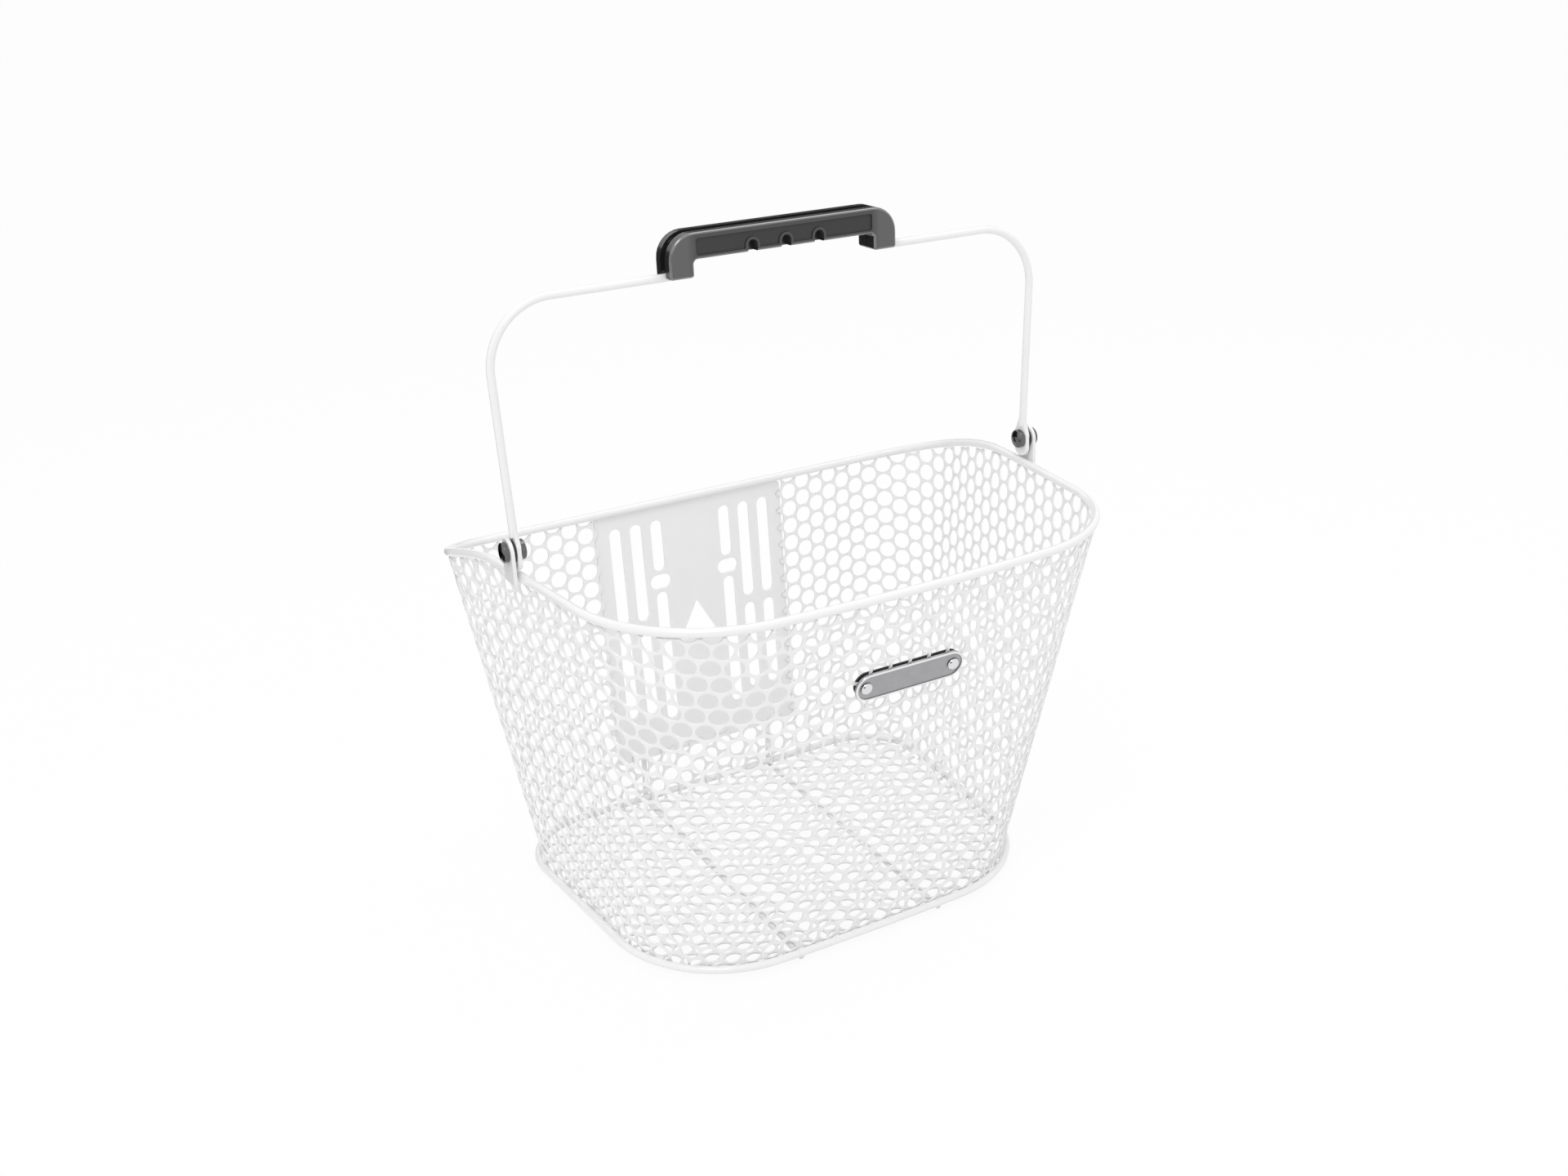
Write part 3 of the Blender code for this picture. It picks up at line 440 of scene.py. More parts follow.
def strip_to_wall(station, height):
    """The place on the wrapped wall of points on the strip."""
    strip = np.clip(np.searchsorted(stations, station, side="right") - 1, 0, len(stations) - 2)
    share = ((station - stations[strip]) / (stations[strip + 1] - stations[strip]))[:, None]
    foot = foot_line[strip] + share * (foot_line[strip + 1] - foot_line[strip])
    top = top_line[strip] + share * (top_line[strip + 1] - top_line[strip])
    return foot + height[:, None] * (top - foot)


wall = stock_sheet("wall_sheet", WALL_COLUMNS, WALL_ROW_PAIRS)
flat = points_of(wall)[:, :2] + (0.0, FRONT_HOLE_HEIGHT - ROWS_BELOW * ROW)
station, height = flat_to_strip(flat)
move_points(wall, np.column_stack([station, height * TRIM_HEIGHT, np.zeros(len(station))]))
end = stations[-1]
window = stations[-2]
sill = (SILL_Z - WALL_FOOT_Z) / (top_line[-1][2] - WALL_FOOT_Z)
cut(wall, (0.0, 0.0, 0.0), (0.0, -1.0, 0.0))
cut(wall, (0.0, TRIM_HEIGHT, 0.0), (0.0, 1.0, 0.0))
cut(wall, (0.0, 0.0, 0.0), (-1.0, 0.0, 0.0))
cut(wall, (end, 0.0, 0.0), (1.0, 0.0, 0.0))
cut(wall, (window, 0.0, 0.0), (1.0, 0.0, 0.0), keep_all=True)
cut(wall, (0.0, sill * TRIM_HEIGHT, 0.0), (0.0, 1.0, 0.0), lambda middles: middles[:, 0] > window)
trimmed = points_of(wall)
move_points(wall, strip_to_wall(trimmed[:, 0], trimmed[:, 1] / TRIM_HEIGHT))
apply(wall, "MIRROR", use_axis=(True, False, False), use_mirror_merge=True, merge_threshold=SEAM_MERGE)


def left_lap(middles):
    """The sheet's left end over the plate, which reaches less far than the right one."""
    x, y, z = middles.T
    return (x < 0.0) & (x > -2 * WINDOW_HALF) & (y > BACK_FROM_Y) & (z > SILL_Z)


cut(wall, (LEFT_LAP_X, 0.0, 0.0), (1.0, 0.0, 0.0), left_lap)
close_up(wall)
thicken(wall)
soften(wall)
fit(wall, "basket", powder_coat, "white_powder_coat", "wall_mesh")

# Floor: a flat panel of the same sheet, turned so that its rows run from front to back, trimmed to the foot
# of the walls and welded inside them.
FLOOR_COLUMNS = 26
FLOOR_ROW_PAIRS = 15
FLOOR_OUTLINE_STEP = 3
FLOOR_MIDDLE_Y = 0.025
floor = stock_sheet("floor_sheet", FLOOR_COLUMNS, FLOOR_ROW_PAIRS)
shift = Matrix.Translation((-(FLOOR_COLUMNS // 2) * PITCH, -FLOOR_ROW_PAIRS * ROW, 0.0))
floor_place = Matrix.Translation((0.0, FLOOR_MIDDLE_Y, WALL_FOOT_Z + SHEET / 2))
floor.data.transform(floor_place @ Matrix.Rotation(math.pi / 2, 4, "Z") @ shift)
floor_plan = whole_outline(half_outline(RING_SHAPE, WALL_INSET + SHEET / 2 + GAP))[::FLOOR_OUTLINE_STEP]
for here, there in zip(floor_plan, np.roll(floor_plan, -1, axis=0)):
    cut(floor, (*here, 0.0), (here[1] - there[1], there[0] - here[0], 0.0))
close_up(floor)
thicken(floor)
soften(floor)
fit(floor, "basket", powder_coat, "white_powder_coat", "floor_mesh")

# Back plate: 1.5 mm steel, laser cut with bolt slots, that closes the window of the wall from outside. The
# sheet's cut ends lie on its inner face and are spot welded to it.
PLATE_WIDTH = 0.134
PLATE_THICKNESS = 0.0015
PLATE_LOW = (0.0, 0.126114, 0.03605)
PLATE_HEIGHT = 0.172595
PLATE_TILT = 0.047528
PLATE_CORNER = 0.0030
PLATE_EDGE = 0.00035
SLOT_WIDTH = 0.0080
SLOT_INNER = 0.0245
SLOT_PITCH = 0.01435
SLOT_MARGIN = 0.0092
SLOT_HIGH = PLATE_HEIGHT - SLOT_MARGIN
LONG_SLOT = 0.0660
LOWER_SLOT = 0.0610
SLOT_BRIDGE = 0.0054
SHORT_SLOT = 0.0343
OVAL_WIDTH = 0.0145
OVAL_HEIGHT = 0.0095
OVAL_BRIDGE = 0.0027
INNER_SLOT = 0.0900
ARROW_DROP = 0.0691
ARROW_HIGH = PLATE_HEIGHT - ARROW_DROP
ARROW_HALF = 0.0140
ARROW_HEIGHT = 0.0258
ARROW_ROUND = 0.0006
EDGE_ROUNDNESS = 2


def rounded_loop(corners, steps=8):
    """A closed outline from its corners, each given as x, y and the radius that rounds it."""
    found = []
    for i, (x, y, radius) in enumerate(corners):
        corner = Vector((x, y))
        before = Vector(corners[i - 1][:2]) - corner
        after = Vector(corners[(i + 1) % len(corners)][:2]) - corner
        if radius == 0.0:
            found.append(corner)
            continue
        before.normalize()
        after.normalize()
        half = before.angle(after) / 2
        middle = corner + (before + after).normalized() * radius / math.sin(half)
        start = corner + before * radius / math.tan(half) - middle
        turn = start.angle_signed(corner + after * radius / math.tan(half) - middle)
        for step in range(steps + 1):
            found.append(middle + Matrix.Rotation(-turn * step / steps, 2) @ start)
    return [spot for spot, last in zip(found, found[-1:] + found) if (spot - last).length > HAIR]


def box_loop(x, low, high, width, radius):
    """An upright rounded rectangle about x."""
    half = width / 2
    corners = ((x + half, high), (x - half, high), (x - half, low), (x + half, low))
    return rounded_loop([(u, v, radius) for u, v in corners])


def flat_plate(name, loops, thickness, edge):
    """A flat plate about z = 0 from its outline and holes, with rounded edges."""
    bpy.ops.object.select_all(action="DESELECT")
    bpy.ops.curve.primitive_bezier_circle_add()
    curve = bpy.context.object.data
    bpy.context.object.name = name
    curve.splines.clear()
    curve.dimensions = "2D"
    curve.fill_mode = "BOTH"
    curve.extrude = thickness / 2 - edge
    curve.bevel_depth = edge
    curve.bevel_resolution = EDGE_ROUNDNESS
    curve.offset = -edge
    for loop in loops:
        spline = curve.splines.new("POLY")
        spline.points.add(len(loop) - 1)
        spline.points.foreach_set("co", [value for x, y in loop for value in (x, y, 0.0, 1.0)])
        spline.use_cyclic_u = True
    bpy.ops.object.convert(target="MESH")
    plate = bpy.context.object
    close_up(plate)
    return plate


slot_round = SLOT_WIDTH / 2 - HAIR
oval_round = OVAL_HEIGHT / 2 - HAIR
plate_loops = [box_loop(0.0, 0.0, PLATE_HEIGHT, PLATE_WIDTH, PLATE_CORNER)]
plate_loops.append(
    rounded_loop(
        [
            (0.0, ARROW_HIGH, ARROW_ROUND),
            (-ARROW_HALF, ARROW_HIGH - ARROW_HEIGHT, ARROW_ROUND),
            (ARROW_HALF, ARROW_HIGH - ARROW_HEIGHT, ARROW_ROUND),
        ]
    )
)
for side in (-1, 1):
    x = side * SLOT_INNER
    oval_high = SLOT_HIGH - SHORT_SLOT - OVAL_BRIDGE
    inner_high = oval_high - OVAL_HEIGHT - OVAL_BRIDGE
    plate_loops.append(box_loop(x, SLOT_HIGH - SHORT_SLOT, SLOT_HIGH, SLOT_WIDTH, slot_round))
    plate_loops.append(box_loop(x, oval_high - OVAL_HEIGHT, oval_high, OVAL_WIDTH, oval_round))
    plate_loops.append(box_loop(x, inner_high - INNER_SLOT, inner_high, SLOT_WIDTH, slot_round))
    for step in (1, 2):
        x = side * (SLOT_INNER + step * SLOT_PITCH)
        lower_high = SLOT_HIGH - LONG_SLOT - SLOT_BRIDGE
        plate_loops.append(box_loop(x, SLOT_HIGH - LONG_SLOT, SLOT_HIGH, SLOT_WIDTH, slot_round))
        plate_loops.append(box_loop(x, lower_high - LOWER_SLOT, lower_high, SLOT_WIDTH, slot_round))
plate = flat_plate("bracket_plate", plate_loops, PLATE_THICKNESS, PLATE_EDGE)
plate_place = Matrix.Translation(PLATE_LOW) @ Matrix.Rotation(math.pi / 2 - PLATE_TILT, 4, "X")
plate_outset = SHEET / 2 + GAP + PLATE_THICKNESS / 2
plate.data.transform(plate_place @ Matrix.Translation((0.0, 0.0, -plate_outset)))
soften(plate)
fit(plate, "basket", powder_coat, "white_powder_coat", "back_plate")

# Support rods: two 3.5 mm wires welded to the outside of the plate, bent round the base ring and run
# forward under the floor, where the basket stands on them.
ROD_WIRE = 0.0035
ROD_X = 0.0475
ROD_WELD = 0.020
ROD_TIP_INSET = 0.002
ROD_TIP_Y = RING_SHAPE[2] + ROD_TIP_INSET
ROD_BEND_STEPS = 12
rod_off = (plate_outset + PLATE_THICKNESS / 2 + GAP + ROD_WIRE / 2) / math.cos(PLATE_TILT)
rod_bend = RING_WIRE / 2 + GAP + ROD_WIRE / 2
rod_plan = np.concatenate(
    [
        [[PLATE_LOW[1] + ROD_WELD * math.tan(PLATE_TILT) + rod_off, PLATE_LOW[2] + ROD_WELD]],
        [[PLATE_LOW[1] + rod_off, PLATE_LOW[2]]],
        sweep((RING_SHAPE[1], RING_Z), rod_bend, 0.0, -math.pi / 2, ROD_BEND_STEPS),
        [[ROD_TIP_Y, RING_Z - rod_bend]],
    ]
)
for label, side in (("left", -1), ("right", 1)):
    rod_path = np.column_stack([np.full(len(rod_plan), side * ROD_X), rod_plan])
    rod = bent_wire("under_rod_" + label, rod_path, ROD_WIRE)
    soften(rod)
    fit(rod, "basket", powder_coat, "white_powder_coat", "support_rod_" + label)

# Bail tabs: round-topped tabs of 2 mm steel, welded to the outside of the rim at the middle of each side.
# Each has a hole for the pivot bolt.
TAB_WIDTH = 0.0150
TAB_HOLE = 0.0056
TAB_EDGE = 0.0004
TAB_FOOT_CORNER = 0.0012
PIVOT_Z = 0.25375
UPRIGHT = Matrix(((0, 0, 1, 0), (1, 0, 0, 0), (0, 1, 0, 0), (0, 0, 0, 1)))
pivots = {}
for label, turn in (("left", math.pi), ("right", 0.0)):
    pivots[label] = Matrix.Translation((0.0, 0.0, PIVOT_Z)) @ Matrix.Rotation(turn, 4, "Z")


def ring_loop(radius, steps=32):
    """A round outline about the origin."""
    turns = [i * math.tau / steps for i in range(steps)]
    return [(radius * math.cos(turn), radius * math.sin(turn)) for turn in turns]


tab_low, tab_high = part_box("bail_lug_right")
tab_half = TAB_WIDTH / 2
tab_round = tab_half - HAIR
tab_foot = tab_low.z - PIVOT_Z
tab_loop = rounded_loop(
    [
        (tab_half, tab_half, tab_round),
        (-tab_half, tab_half, tab_round),
        (-tab_half, tab_foot, TAB_FOOT_CORNER),
        (tab_half, tab_foot, TAB_FOOT_CORNER),
    ],
    steps=12,
)
for label, pivot in pivots.items():
    tab_loops = [tab_loop, ring_loop(TAB_HOLE / 2)]
    tab = flat_plate("bail_tab_" + label, tab_loops, tab_high.x - tab_low.x, TAB_EDGE)
    tab.data.transform(pivot @ Matrix.Translation(((tab_low.x + tab_high.x) / 2, 0.0, 0.0)) @ UPRIGHT)
    soften(tab)
    fit(tab, "basket", powder_coat, "white_powder_coat", "bail_lug_" + label)

# Pivot fittings: a button-headed bolt from outside, a black nylon washer between tab and bail eye, and a
# low round cap nut inside. Bolt and nut are plated steel, given a dark base colour as painted dark
# reflections where the badge's rivets are bright, and the bail swings on the bolt's shank.
BOLT_RADIUS = 0.0025
BOLT_TIP = 0.0004
BUTTON_LIP = 0.6
SOCKET_RADIUS = 0.0019
SOCKET_SIDES = 6
BOLT_SOCKET = 0.0016
NUT_SOCKET = 0.0007
WASHER_EDGE = 0.0002
CHROME = (0.78, 0.78, 0.79, 1.0)
CHROME_DULL = (0.70, 0.70, 0.71, 1.0)
PIVOT_DARK_REFLECTION = (0.15, 0.15, 0.155, 1.0)
DARK_REFLECTION_FROM_X = 0.15
NYLON_DARK = (0.010, 0.010, 0.011, 1.0)
NYLON_PALE = (0.022, 0.022, 0.023, 1.0)
chrome, shader, place = new_finish("chrome_hardware", {"Metallic": 1.0})
smear = place.noise(900.0, 3.0)
# Bolts and nuts out at the pivots are painted dark: painted dark reflections on the plating.
dark_reflection_at_pivot = abs(place.node("ShaderNodeSeparateXYZ", {}, {"Vector": place})) > DARK_REFLECTION_FROM_X
feed(
    shader,
    {
        "Base Color": dark_reflection_at_pivot.between(smear.between(CHROME_DULL, CHROME), PIVOT_DARK_REFLECTION),
        "Roughness": 0.05 + 0.10 * smear,
        "Normal": place.noise(400.0, 1.0).bump(0.03, 0.0002),
    },
)
nylon, shader, place = new_finish("black_nylon", {})
matt = place.noise(800.0, 2.0)
feed(
    shader,
    {
        "Base Color": matt.between(NYLON_DARK, NYLON_PALE),
        "Roughness": 0.38 + 0.2 * matt,
        "Normal": matt.bump(0.1, 0.0002),
    },
)


def turned(name, profile, steps=40):
    """A piece turned about local X from a closed profile of x and radius."""
    mesh = bpy.data.meshes.new(name)
    count = len(profile)
    edges = [(i, (i + 1) % count) for i in range(count)]
    mesh.from_pydata([(x, 0.0, radius) for x, radius in profile], edges, [])
    piece = bpy.data.objects.new(name, mesh)
    bpy.context.scene.collection.objects.link(piece)
    edit(piece)
    bpy.ops.mesh.spin(steps=steps, angle=math.tau, center=(0.0, 0.0, 0.0), axis=(1.0, 0.0, 0.0))
    bpy.ops.object.mode_set(mode="OBJECT")
    close_up(piece)
    edit(piece)
    bpy.ops.mesh.dissolve_degenerate(threshold=HAIR)
    bpy.ops.object.mode_set(mode="OBJECT")
    return piece


def dome(start, rise, radius, steps=8):
    """A profile that curves from a radius in to the axis."""
    turns = [i * math.pi / 2 / steps for i in range(steps + 1)]
    return [(start + rise * math.sin(turn), radius * math.cos(turn)) for turn in turns]


def carve(piece, tool, operation="DIFFERENCE"):
    """Cuts a tool out of a piece, or joins it on, and throws the tool away."""
    apply(piece, "BOOLEAN", object=tool, operation=operation, solver="EXACT")
    bpy.data.objects.remove(tool, do_unlink=True)


def prism(name, sides, radius, start, end):
    """A straight many-sided bar along X."""
    bpy.ops.object.select_all(action="DESELECT")
    bpy.ops.mesh.primitive_cylinder_add(vertices=sides, radius=radius, depth=end - start)
    bar = bpy.context.object
    bar.name = name
    middle = Matrix.Translation(((start + end) / 2, 0.0, 0.0))
    bar.data.transform(middle @ Matrix.Rotation(math.pi / 2, 4, "Y"))
    return bar


def button(name, seat, top, radius, inside):
    """A domed head that stands on its seat along X, closed by the profile of what lies behind the seat."""
    lip = BUTTON_LIP * (top - seat)
    crown = dome(seat + lip, top - seat - lip, radius)
    return turned(name, [*reversed(crown), (seat, radius), *inside])


bolt_low, bolt_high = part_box("pivot_bolt_right")
washer_low, washer_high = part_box("pivot_washer_right")
nut_low, nut_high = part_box("pivot_nut_right")
bolt_seat = tab_high.x + GAP
bore = TAB_HOLE / 2
for label, pivot in pivots.items():
    shank = [
        (bolt_seat, BOLT_RADIUS),
        (bolt_low.x + BOLT_TIP, BOLT_RADIUS),
        (bolt_low.x, BOLT_RADIUS - BOLT_TIP),
        (bolt_low.x, 0.0),
    ]
    bolt = button("button_bolt_" + label, bolt_seat, bolt_high.x, bolt_high.z - PIVOT_Z, shank)
    socket_ends = (bolt_high.x - BOLT_SOCKET, bolt_high.x + BOLT_SOCKET)
    carve(bolt, prism("socket", SOCKET_SIDES, SOCKET_RADIUS, *socket_ends))
    bolt.data.transform(pivot)
    soften(bolt)
    fit(bolt, "basket", chrome, "chrome_hardware", "pivot_bolt_" + label)

    washer_radius = washer_high.z - PIVOT_Z
    washer_profile = [
        (washer_low.x, bore),
        (washer_low.x, washer_radius - WASHER_EDGE),
        (washer_low.x + WASHER_EDGE, washer_radius),
        (washer_high.x - WASHER_EDGE, washer_radius),
        (washer_high.x, washer_radius - WASHER_EDGE),
        (washer_high.x, bore),
    ]
    washer = turned("pivot_ring_" + label, washer_profile)
    washer.data.transform(pivot)
    soften(washer)
    fit(washer, "basket", nylon, "black_nylon", "pivot_washer_" + label)

    blind_end = bolt_low.x - GAP
    nut_bore = [(nut_high.x, bore), (blind_end, bore), (blind_end, 0.0)]
    nut = button("cap_nut_" + label, nut_high.x, nut_low.x, nut_high.z - PIVOT_Z, nut_bore)
    socket_ends = (nut_low.x - NUT_SOCKET, nut_low.x + NUT_SOCKET)
    carve(nut, prism("socket", SOCKET_SIDES, SOCKET_RADIUS, *socket_ends))
    nut.data.transform(pivot)
    soften(nut)
    fit(nut, "basket", chrome, "chrome_hardware", "pivot_nut_" + label)

# Bail: one 4.5 mm wire, bent to a wide arch with its ends hammered flat and drilled as eyes. Its middle
# steps up inside the grip. It has the same white coat as the basket.
BAIL_WIRE = 0.0045
BAIL_HEIGHT = 0.1307
BAIL_FLARE = 0.0043
BAIL_RADIUS = 0.0354
BAIL_BEND_STEPS = 24
EYE_X = 0.164845
EYE_RADIUS = 0.0060
EYE_THICKNESS = 0.0026
EYE_TAIL = 0.0050
EYE_EDGE = 0.0005
EYE_NECK = 0.0140
EYE_SHOULDER = 0.55
EYE_SHOULDER_ROUND = 0.5
GRIP_WIRE_X = 0.0622
GRIP_WIRE_HIGH = 0.14755
GRIP_WIRE_BEND = 0.0050
GRIP_BEND_STEPS = 10
lean = math.atan2(BAIL_FLARE, BAIL_HEIGHT)
corner_x = EYE_X + BAIL_FLARE - BAIL_RADIUS * math.tan((math.pi / 2 + lean) / 2)
wire_start = EYE_RADIUS + BAIL_WIRE / 4
step_up = (GRIP_WIRE_X + GRIP_WIRE_BEND, BAIL_HEIGHT + GRIP_WIRE_BEND)
step_in = (GRIP_WIRE_X - GRIP_WIRE_BEND, GRIP_WIRE_HIGH - GRIP_WIRE_BEND)
grip_wire = np.concatenate(
    [
        sweep(step_up, GRIP_WIRE_BEND, 1.5 * math.pi, math.pi, GRIP_BEND_STEPS),
        sweep(step_in, GRIP_WIRE_BEND, 0.0, math.pi / 2, GRIP_BEND_STEPS),
    ]
)
bail_right = np.concatenate(
    [
        [[EYE_X + wire_start * math.tan(lean), wire_start]],
        sweep((corner_x, BAIL_HEIGHT - BAIL_RADIUS), BAIL_RADIUS, -lean, math.pi / 2, BAIL_BEND_STEPS),
        grip_wire,
    ]
)


def bail_plane(right):
    """A wire path in the bail's plane from its right half."""
    whole = np.concatenate([right, right[::-1] * (-1.0, 1.0)])
    return np.column_stack([whole[:, 0], np.zeros(len(whole)), whole[:, 1] + PIVOT_Z])


bail = bent_wire("bail_bar", bail_plane(bail_right), BAIL_WIRE)
neck = BAIL_WIRE / 3
eye_round = EYE_RADIUS - HAIR
shoulder = EYE_RADIUS * EYE_SHOULDER
shoulder_round = EYE_RADIUS * EYE_SHOULDER_ROUND
eye_loop = rounded_loop(
    [
        (EYE_RADIUS, -EYE_RADIUS - EYE_TAIL, eye_round),
        (EYE_RADIUS, shoulder, shoulder_round),
        (neck, EYE_NECK, 0.0),
        (-neck, EYE_NECK, 0.0),
        (-EYE_RADIUS, shoulder, shoulder_round),
        (-EYE_RADIUS, -EYE_RADIUS - EYE_TAIL, eye_round),
    ]
)
for label, pivot in pivots.items():
    eye = flat_plate("eye", [eye_loop, ring_loop(bore)], EYE_THICKNESS, EYE_EDGE)
    eye.data.transform(pivot @ Matrix.Translation((EYE_X, 0.0, 0.0)) @ UPRIGHT)
    carve(bail, eye, "UNION")
soften(bail)
fit(bail, "bail", powder_coat, "white_powder_coat", "bail_wire")

# Grip: two halves moulded in black plastic that close round the wire, with a groove between them along the
# top and both ends. Each face has a grained panel inside a raised border, and three finger notches below.
# The rounded edges and the groove's lips are glossier than the faces.
GRIP_HALF = 0.0692
GRIP_LEG = 0.0140
GRIP_CORNER = 0.0140
GRIP_FOOT = 0.13025 + PIVOT_Z
GRIP_UNDER = 0.13955 + PIVOT_Z
GRIP_TOP = 0.15355 + PIVOT_Z
GRIP_FACE = 0.0088
GRIP_EDGE = 0.0012
GRIP_FOOT_CORNER = 0.0016
GRIP_FILLET = 0.0026
GROOVE_HALF = 0.00295
GROOVE_DEPTH = 0.0030
GROOVE_MARGIN = 0.0040
NOTCH_WIDTH = 0.0058
NOTCH_DEPTH = 0.0064
NOTCH_PITCH = 0.0203
NOTCH_BORDER = 0.0014
NOTCH_BOTTOM = GROOVE_HALF + 2 * GAP
PANEL_HALF = 0.0537
PANEL_MARGIN = 0.0020
PANEL_TOP_MARGIN = 0.0030
PANEL_DEPTH = 0.0008
PANEL_CORNER = 0.0014
PANEL_NOTCH_FOOT = 0.0005
MOULD_EDGE = 0.00034
BEVEL_FROM = math.radians(50)
SCREW_X = 0.0472
SCREW_Z = 0.14295 + PIVOT_Z
SCREW_HEAD = 0.0021
SCREW_SEAT = 0.0062
LEG_FADE = 0.0050
FACE_SKIN = 0.00004
GRAINED = (0.036, 0.036, 0.037, 1.0)
SATIN = (0.014, 0.014, 0.015, 1.0)
LEG_PAINTED_SHEEN = (0.062, 0.062, 0.064, 1.0)
grip_plastic, shader, place = new_finish(
    "black_grip_plastic", {"Specular IOR Level": 0.25, "Coat IOR": 2.6, "Coat Roughness": 0.12}
)
across, through, upright = [
    place.node("ShaderNodeSeparateXYZ", {}, {"Vector": place}, output) for output in range(3)
]
panel_low, panel_high = GRIP_UNDER + PANEL_MARGIN, GRIP_TOP - PANEL_TOP_MARGIN
off_middle = abs(across)
depth = abs(through)
on_panel = (off_middle < PANEL_HALF) * (upright > panel_low) * (upright < panel_high)
on_panel = on_panel * (depth < GRIP_FACE - PANEL_DEPTH / 2) * (depth > NOTCH_BOTTOM + GAP)
# The flat faces of the legs are painted lighter than the rest of the grip: a painted sheen.
on_leg = (off_middle - PANEL_HALF) * (1.0 / LEG_FADE) * (depth > GRIP_FACE - GRIP_EDGE / 4)
on_edge = (depth > GRIP_FACE - GRIP_EDGE) * (depth < GRIP_FACE - FACE_SKIN) * (1.0 - on_panel)
on_lip = (depth > GROOVE_HALF + FACE_SKIN) * (depth < GROOVE_HALF + MOULD_EDGE)
grain = place.noise(2100.0, 2.0)
satin = place.noise(110.0, 3.0)
feed(
    shader,
    {
        "Base Color": on_panel.between(on_leg.between(SATIN, LEG_PAINTED_SHEEN), GRAINED),
        "Roughness": 0.30 + 0.10 * satin + 0.18 * on_panel,
        "Coat Weight": 0.32 + 0.68 * (on_edge + on_lip) - 0.26 * on_panel,
        "Normal": (grain * (0.01 + 0.99 * on_panel)).bump(0.6, 0.0003),
    },
)


def facing(y):
    """Stands a plate drawn in XY up in the XZ plane at a given y."""
    return Matrix.Translation((0.0, y, 0.0)) @ Matrix.Rotation(math.pi / 2, 4, "X")


def both_sides(right):
    """Corners on the right of the grip, followed by their mirror images on the left."""
    return right + [(-x, y, radius) for x, y, radius in reversed(right)]


def notch_corners(middle, low, half, foot_radius):
    """The corners of a round-topped notch, from left to right."""
    high = GRIP_UNDER + NOTCH_DEPTH + half - NOTCH_WIDTH / 2
    crown = half - HAIR
    return [
        (middle - half, low, foot_radius),
        (middle - half, high, crown),
        (middle + half, high, crown),
        (middle + half, low, foot_radius),
    ]


grip_inner = GRIP_HALF - GRIP_LEG
grip_loop = rounded_loop(
    both_sides(
        [
            (grip_inner, GRIP_UNDER, GRIP_FILLET),
            (grip_inner, GRIP_FOOT, GRIP_FOOT_CORNER),
            (GRIP_HALF, GRIP_FOOT, GRIP_FOOT_CORNER),
            (GRIP_HALF, GRIP_TOP, GRIP_CORNER),
        ]
    )
)
groove_half_length = GRIP_HALF - GROOVE_DEPTH
groove_bed = GRIP_FOOT + GROOVE_DEPTH
outside_x, outside_low = GRIP_HALF + GROOVE_MARGIN, GRIP_FOOT - GROOVE_MARGIN
groove_loop = rounded_loop(
    both_sides(
        [
            (outside_x, GRIP_TOP + GROOVE_MARGIN, 0.0),
            (outside_x, outside_low, 0.0),
            (GRIP_WIRE_X - GROOVE_DEPTH - GROOVE_MARGIN, outside_low, 0.0),
            (GRIP_WIRE_X, groove_bed, 0.0),
            (groove_half_length, groove_bed, 0.0),
            (groove_half_length, GRIP_TOP - GROOVE_DEPTH, GRIP_CORNER - GROOVE_DEPTH),
        ]
    )
)
notches = [-NOTCH_PITCH, 0.0, NOTCH_PITCH]
panel_corners = [(PANEL_HALF, panel_low, PANEL_CORNER), (PANEL_HALF, panel_high, PANEL_CORNER)]
panel_corners += [(-PANEL_HALF, panel_high, PANEL_CORNER), (-PANEL_HALF, panel_low, PANEL_CORNER)]
for middle in notches:
    panel_corners += notch_corners(middle, panel_low, NOTCH_WIDTH / 2 + NOTCH_BORDER, PANEL_NOTCH_FOOT)
panel_loop = rounded_loop(panel_corners)
grip = flat_plate("grip", [grip_loop], 2 * GRIP_FACE, GRIP_EDGE)
grip.data.transform(facing(0.0))
groove = flat_plate("groove", [groove_loop], 2 * GROOVE_HALF, 0.0)
groove.data.transform(facing(0.0))
carve(grip, groove)
carve(grip, bent_wire("channel", bail_plane(grip_wire), BAIL_WIRE + 2 * GAP))
for side in (-1, 1):
    panel = flat_plate("panel", [panel_loop], 2 * PANEL_DEPTH, 0.0)
    panel.data.transform(facing(side * GRIP_FACE))
    carve(grip, panel)
    for middle in notches:
        notch_loop = rounded_loop(notch_corners(middle, GRIP_UNDER - NOTCH_WIDTH, NOTCH_WIDTH / 2, 0.0))
        notch = flat_plate("notch", [notch_loop], 2 * (GRIP_FACE - NOTCH_BOTTOM), 0.0)
        notch.data.transform(facing(side * GRIP_FACE))
        carve(grip, notch)
for hand in (-1, 1):
    sink_radius = SCREW_HEAD + GAP
    outside = 2 * GRIP_FACE
    sink_profile = [(SCREW_SEAT, 0.0), (SCREW_SEAT, sink_radius), (outside, sink_radius), (outside, 0.0)]
    sink = turned("sink", sink_profile)
    spot = Matrix.Translation((hand * SCREW_X, 0.0, SCREW_Z))
    sink.data.transform(spot @ Matrix.Rotation(math.pi / 2, 4, "Z"))
    carve(grip, sink)
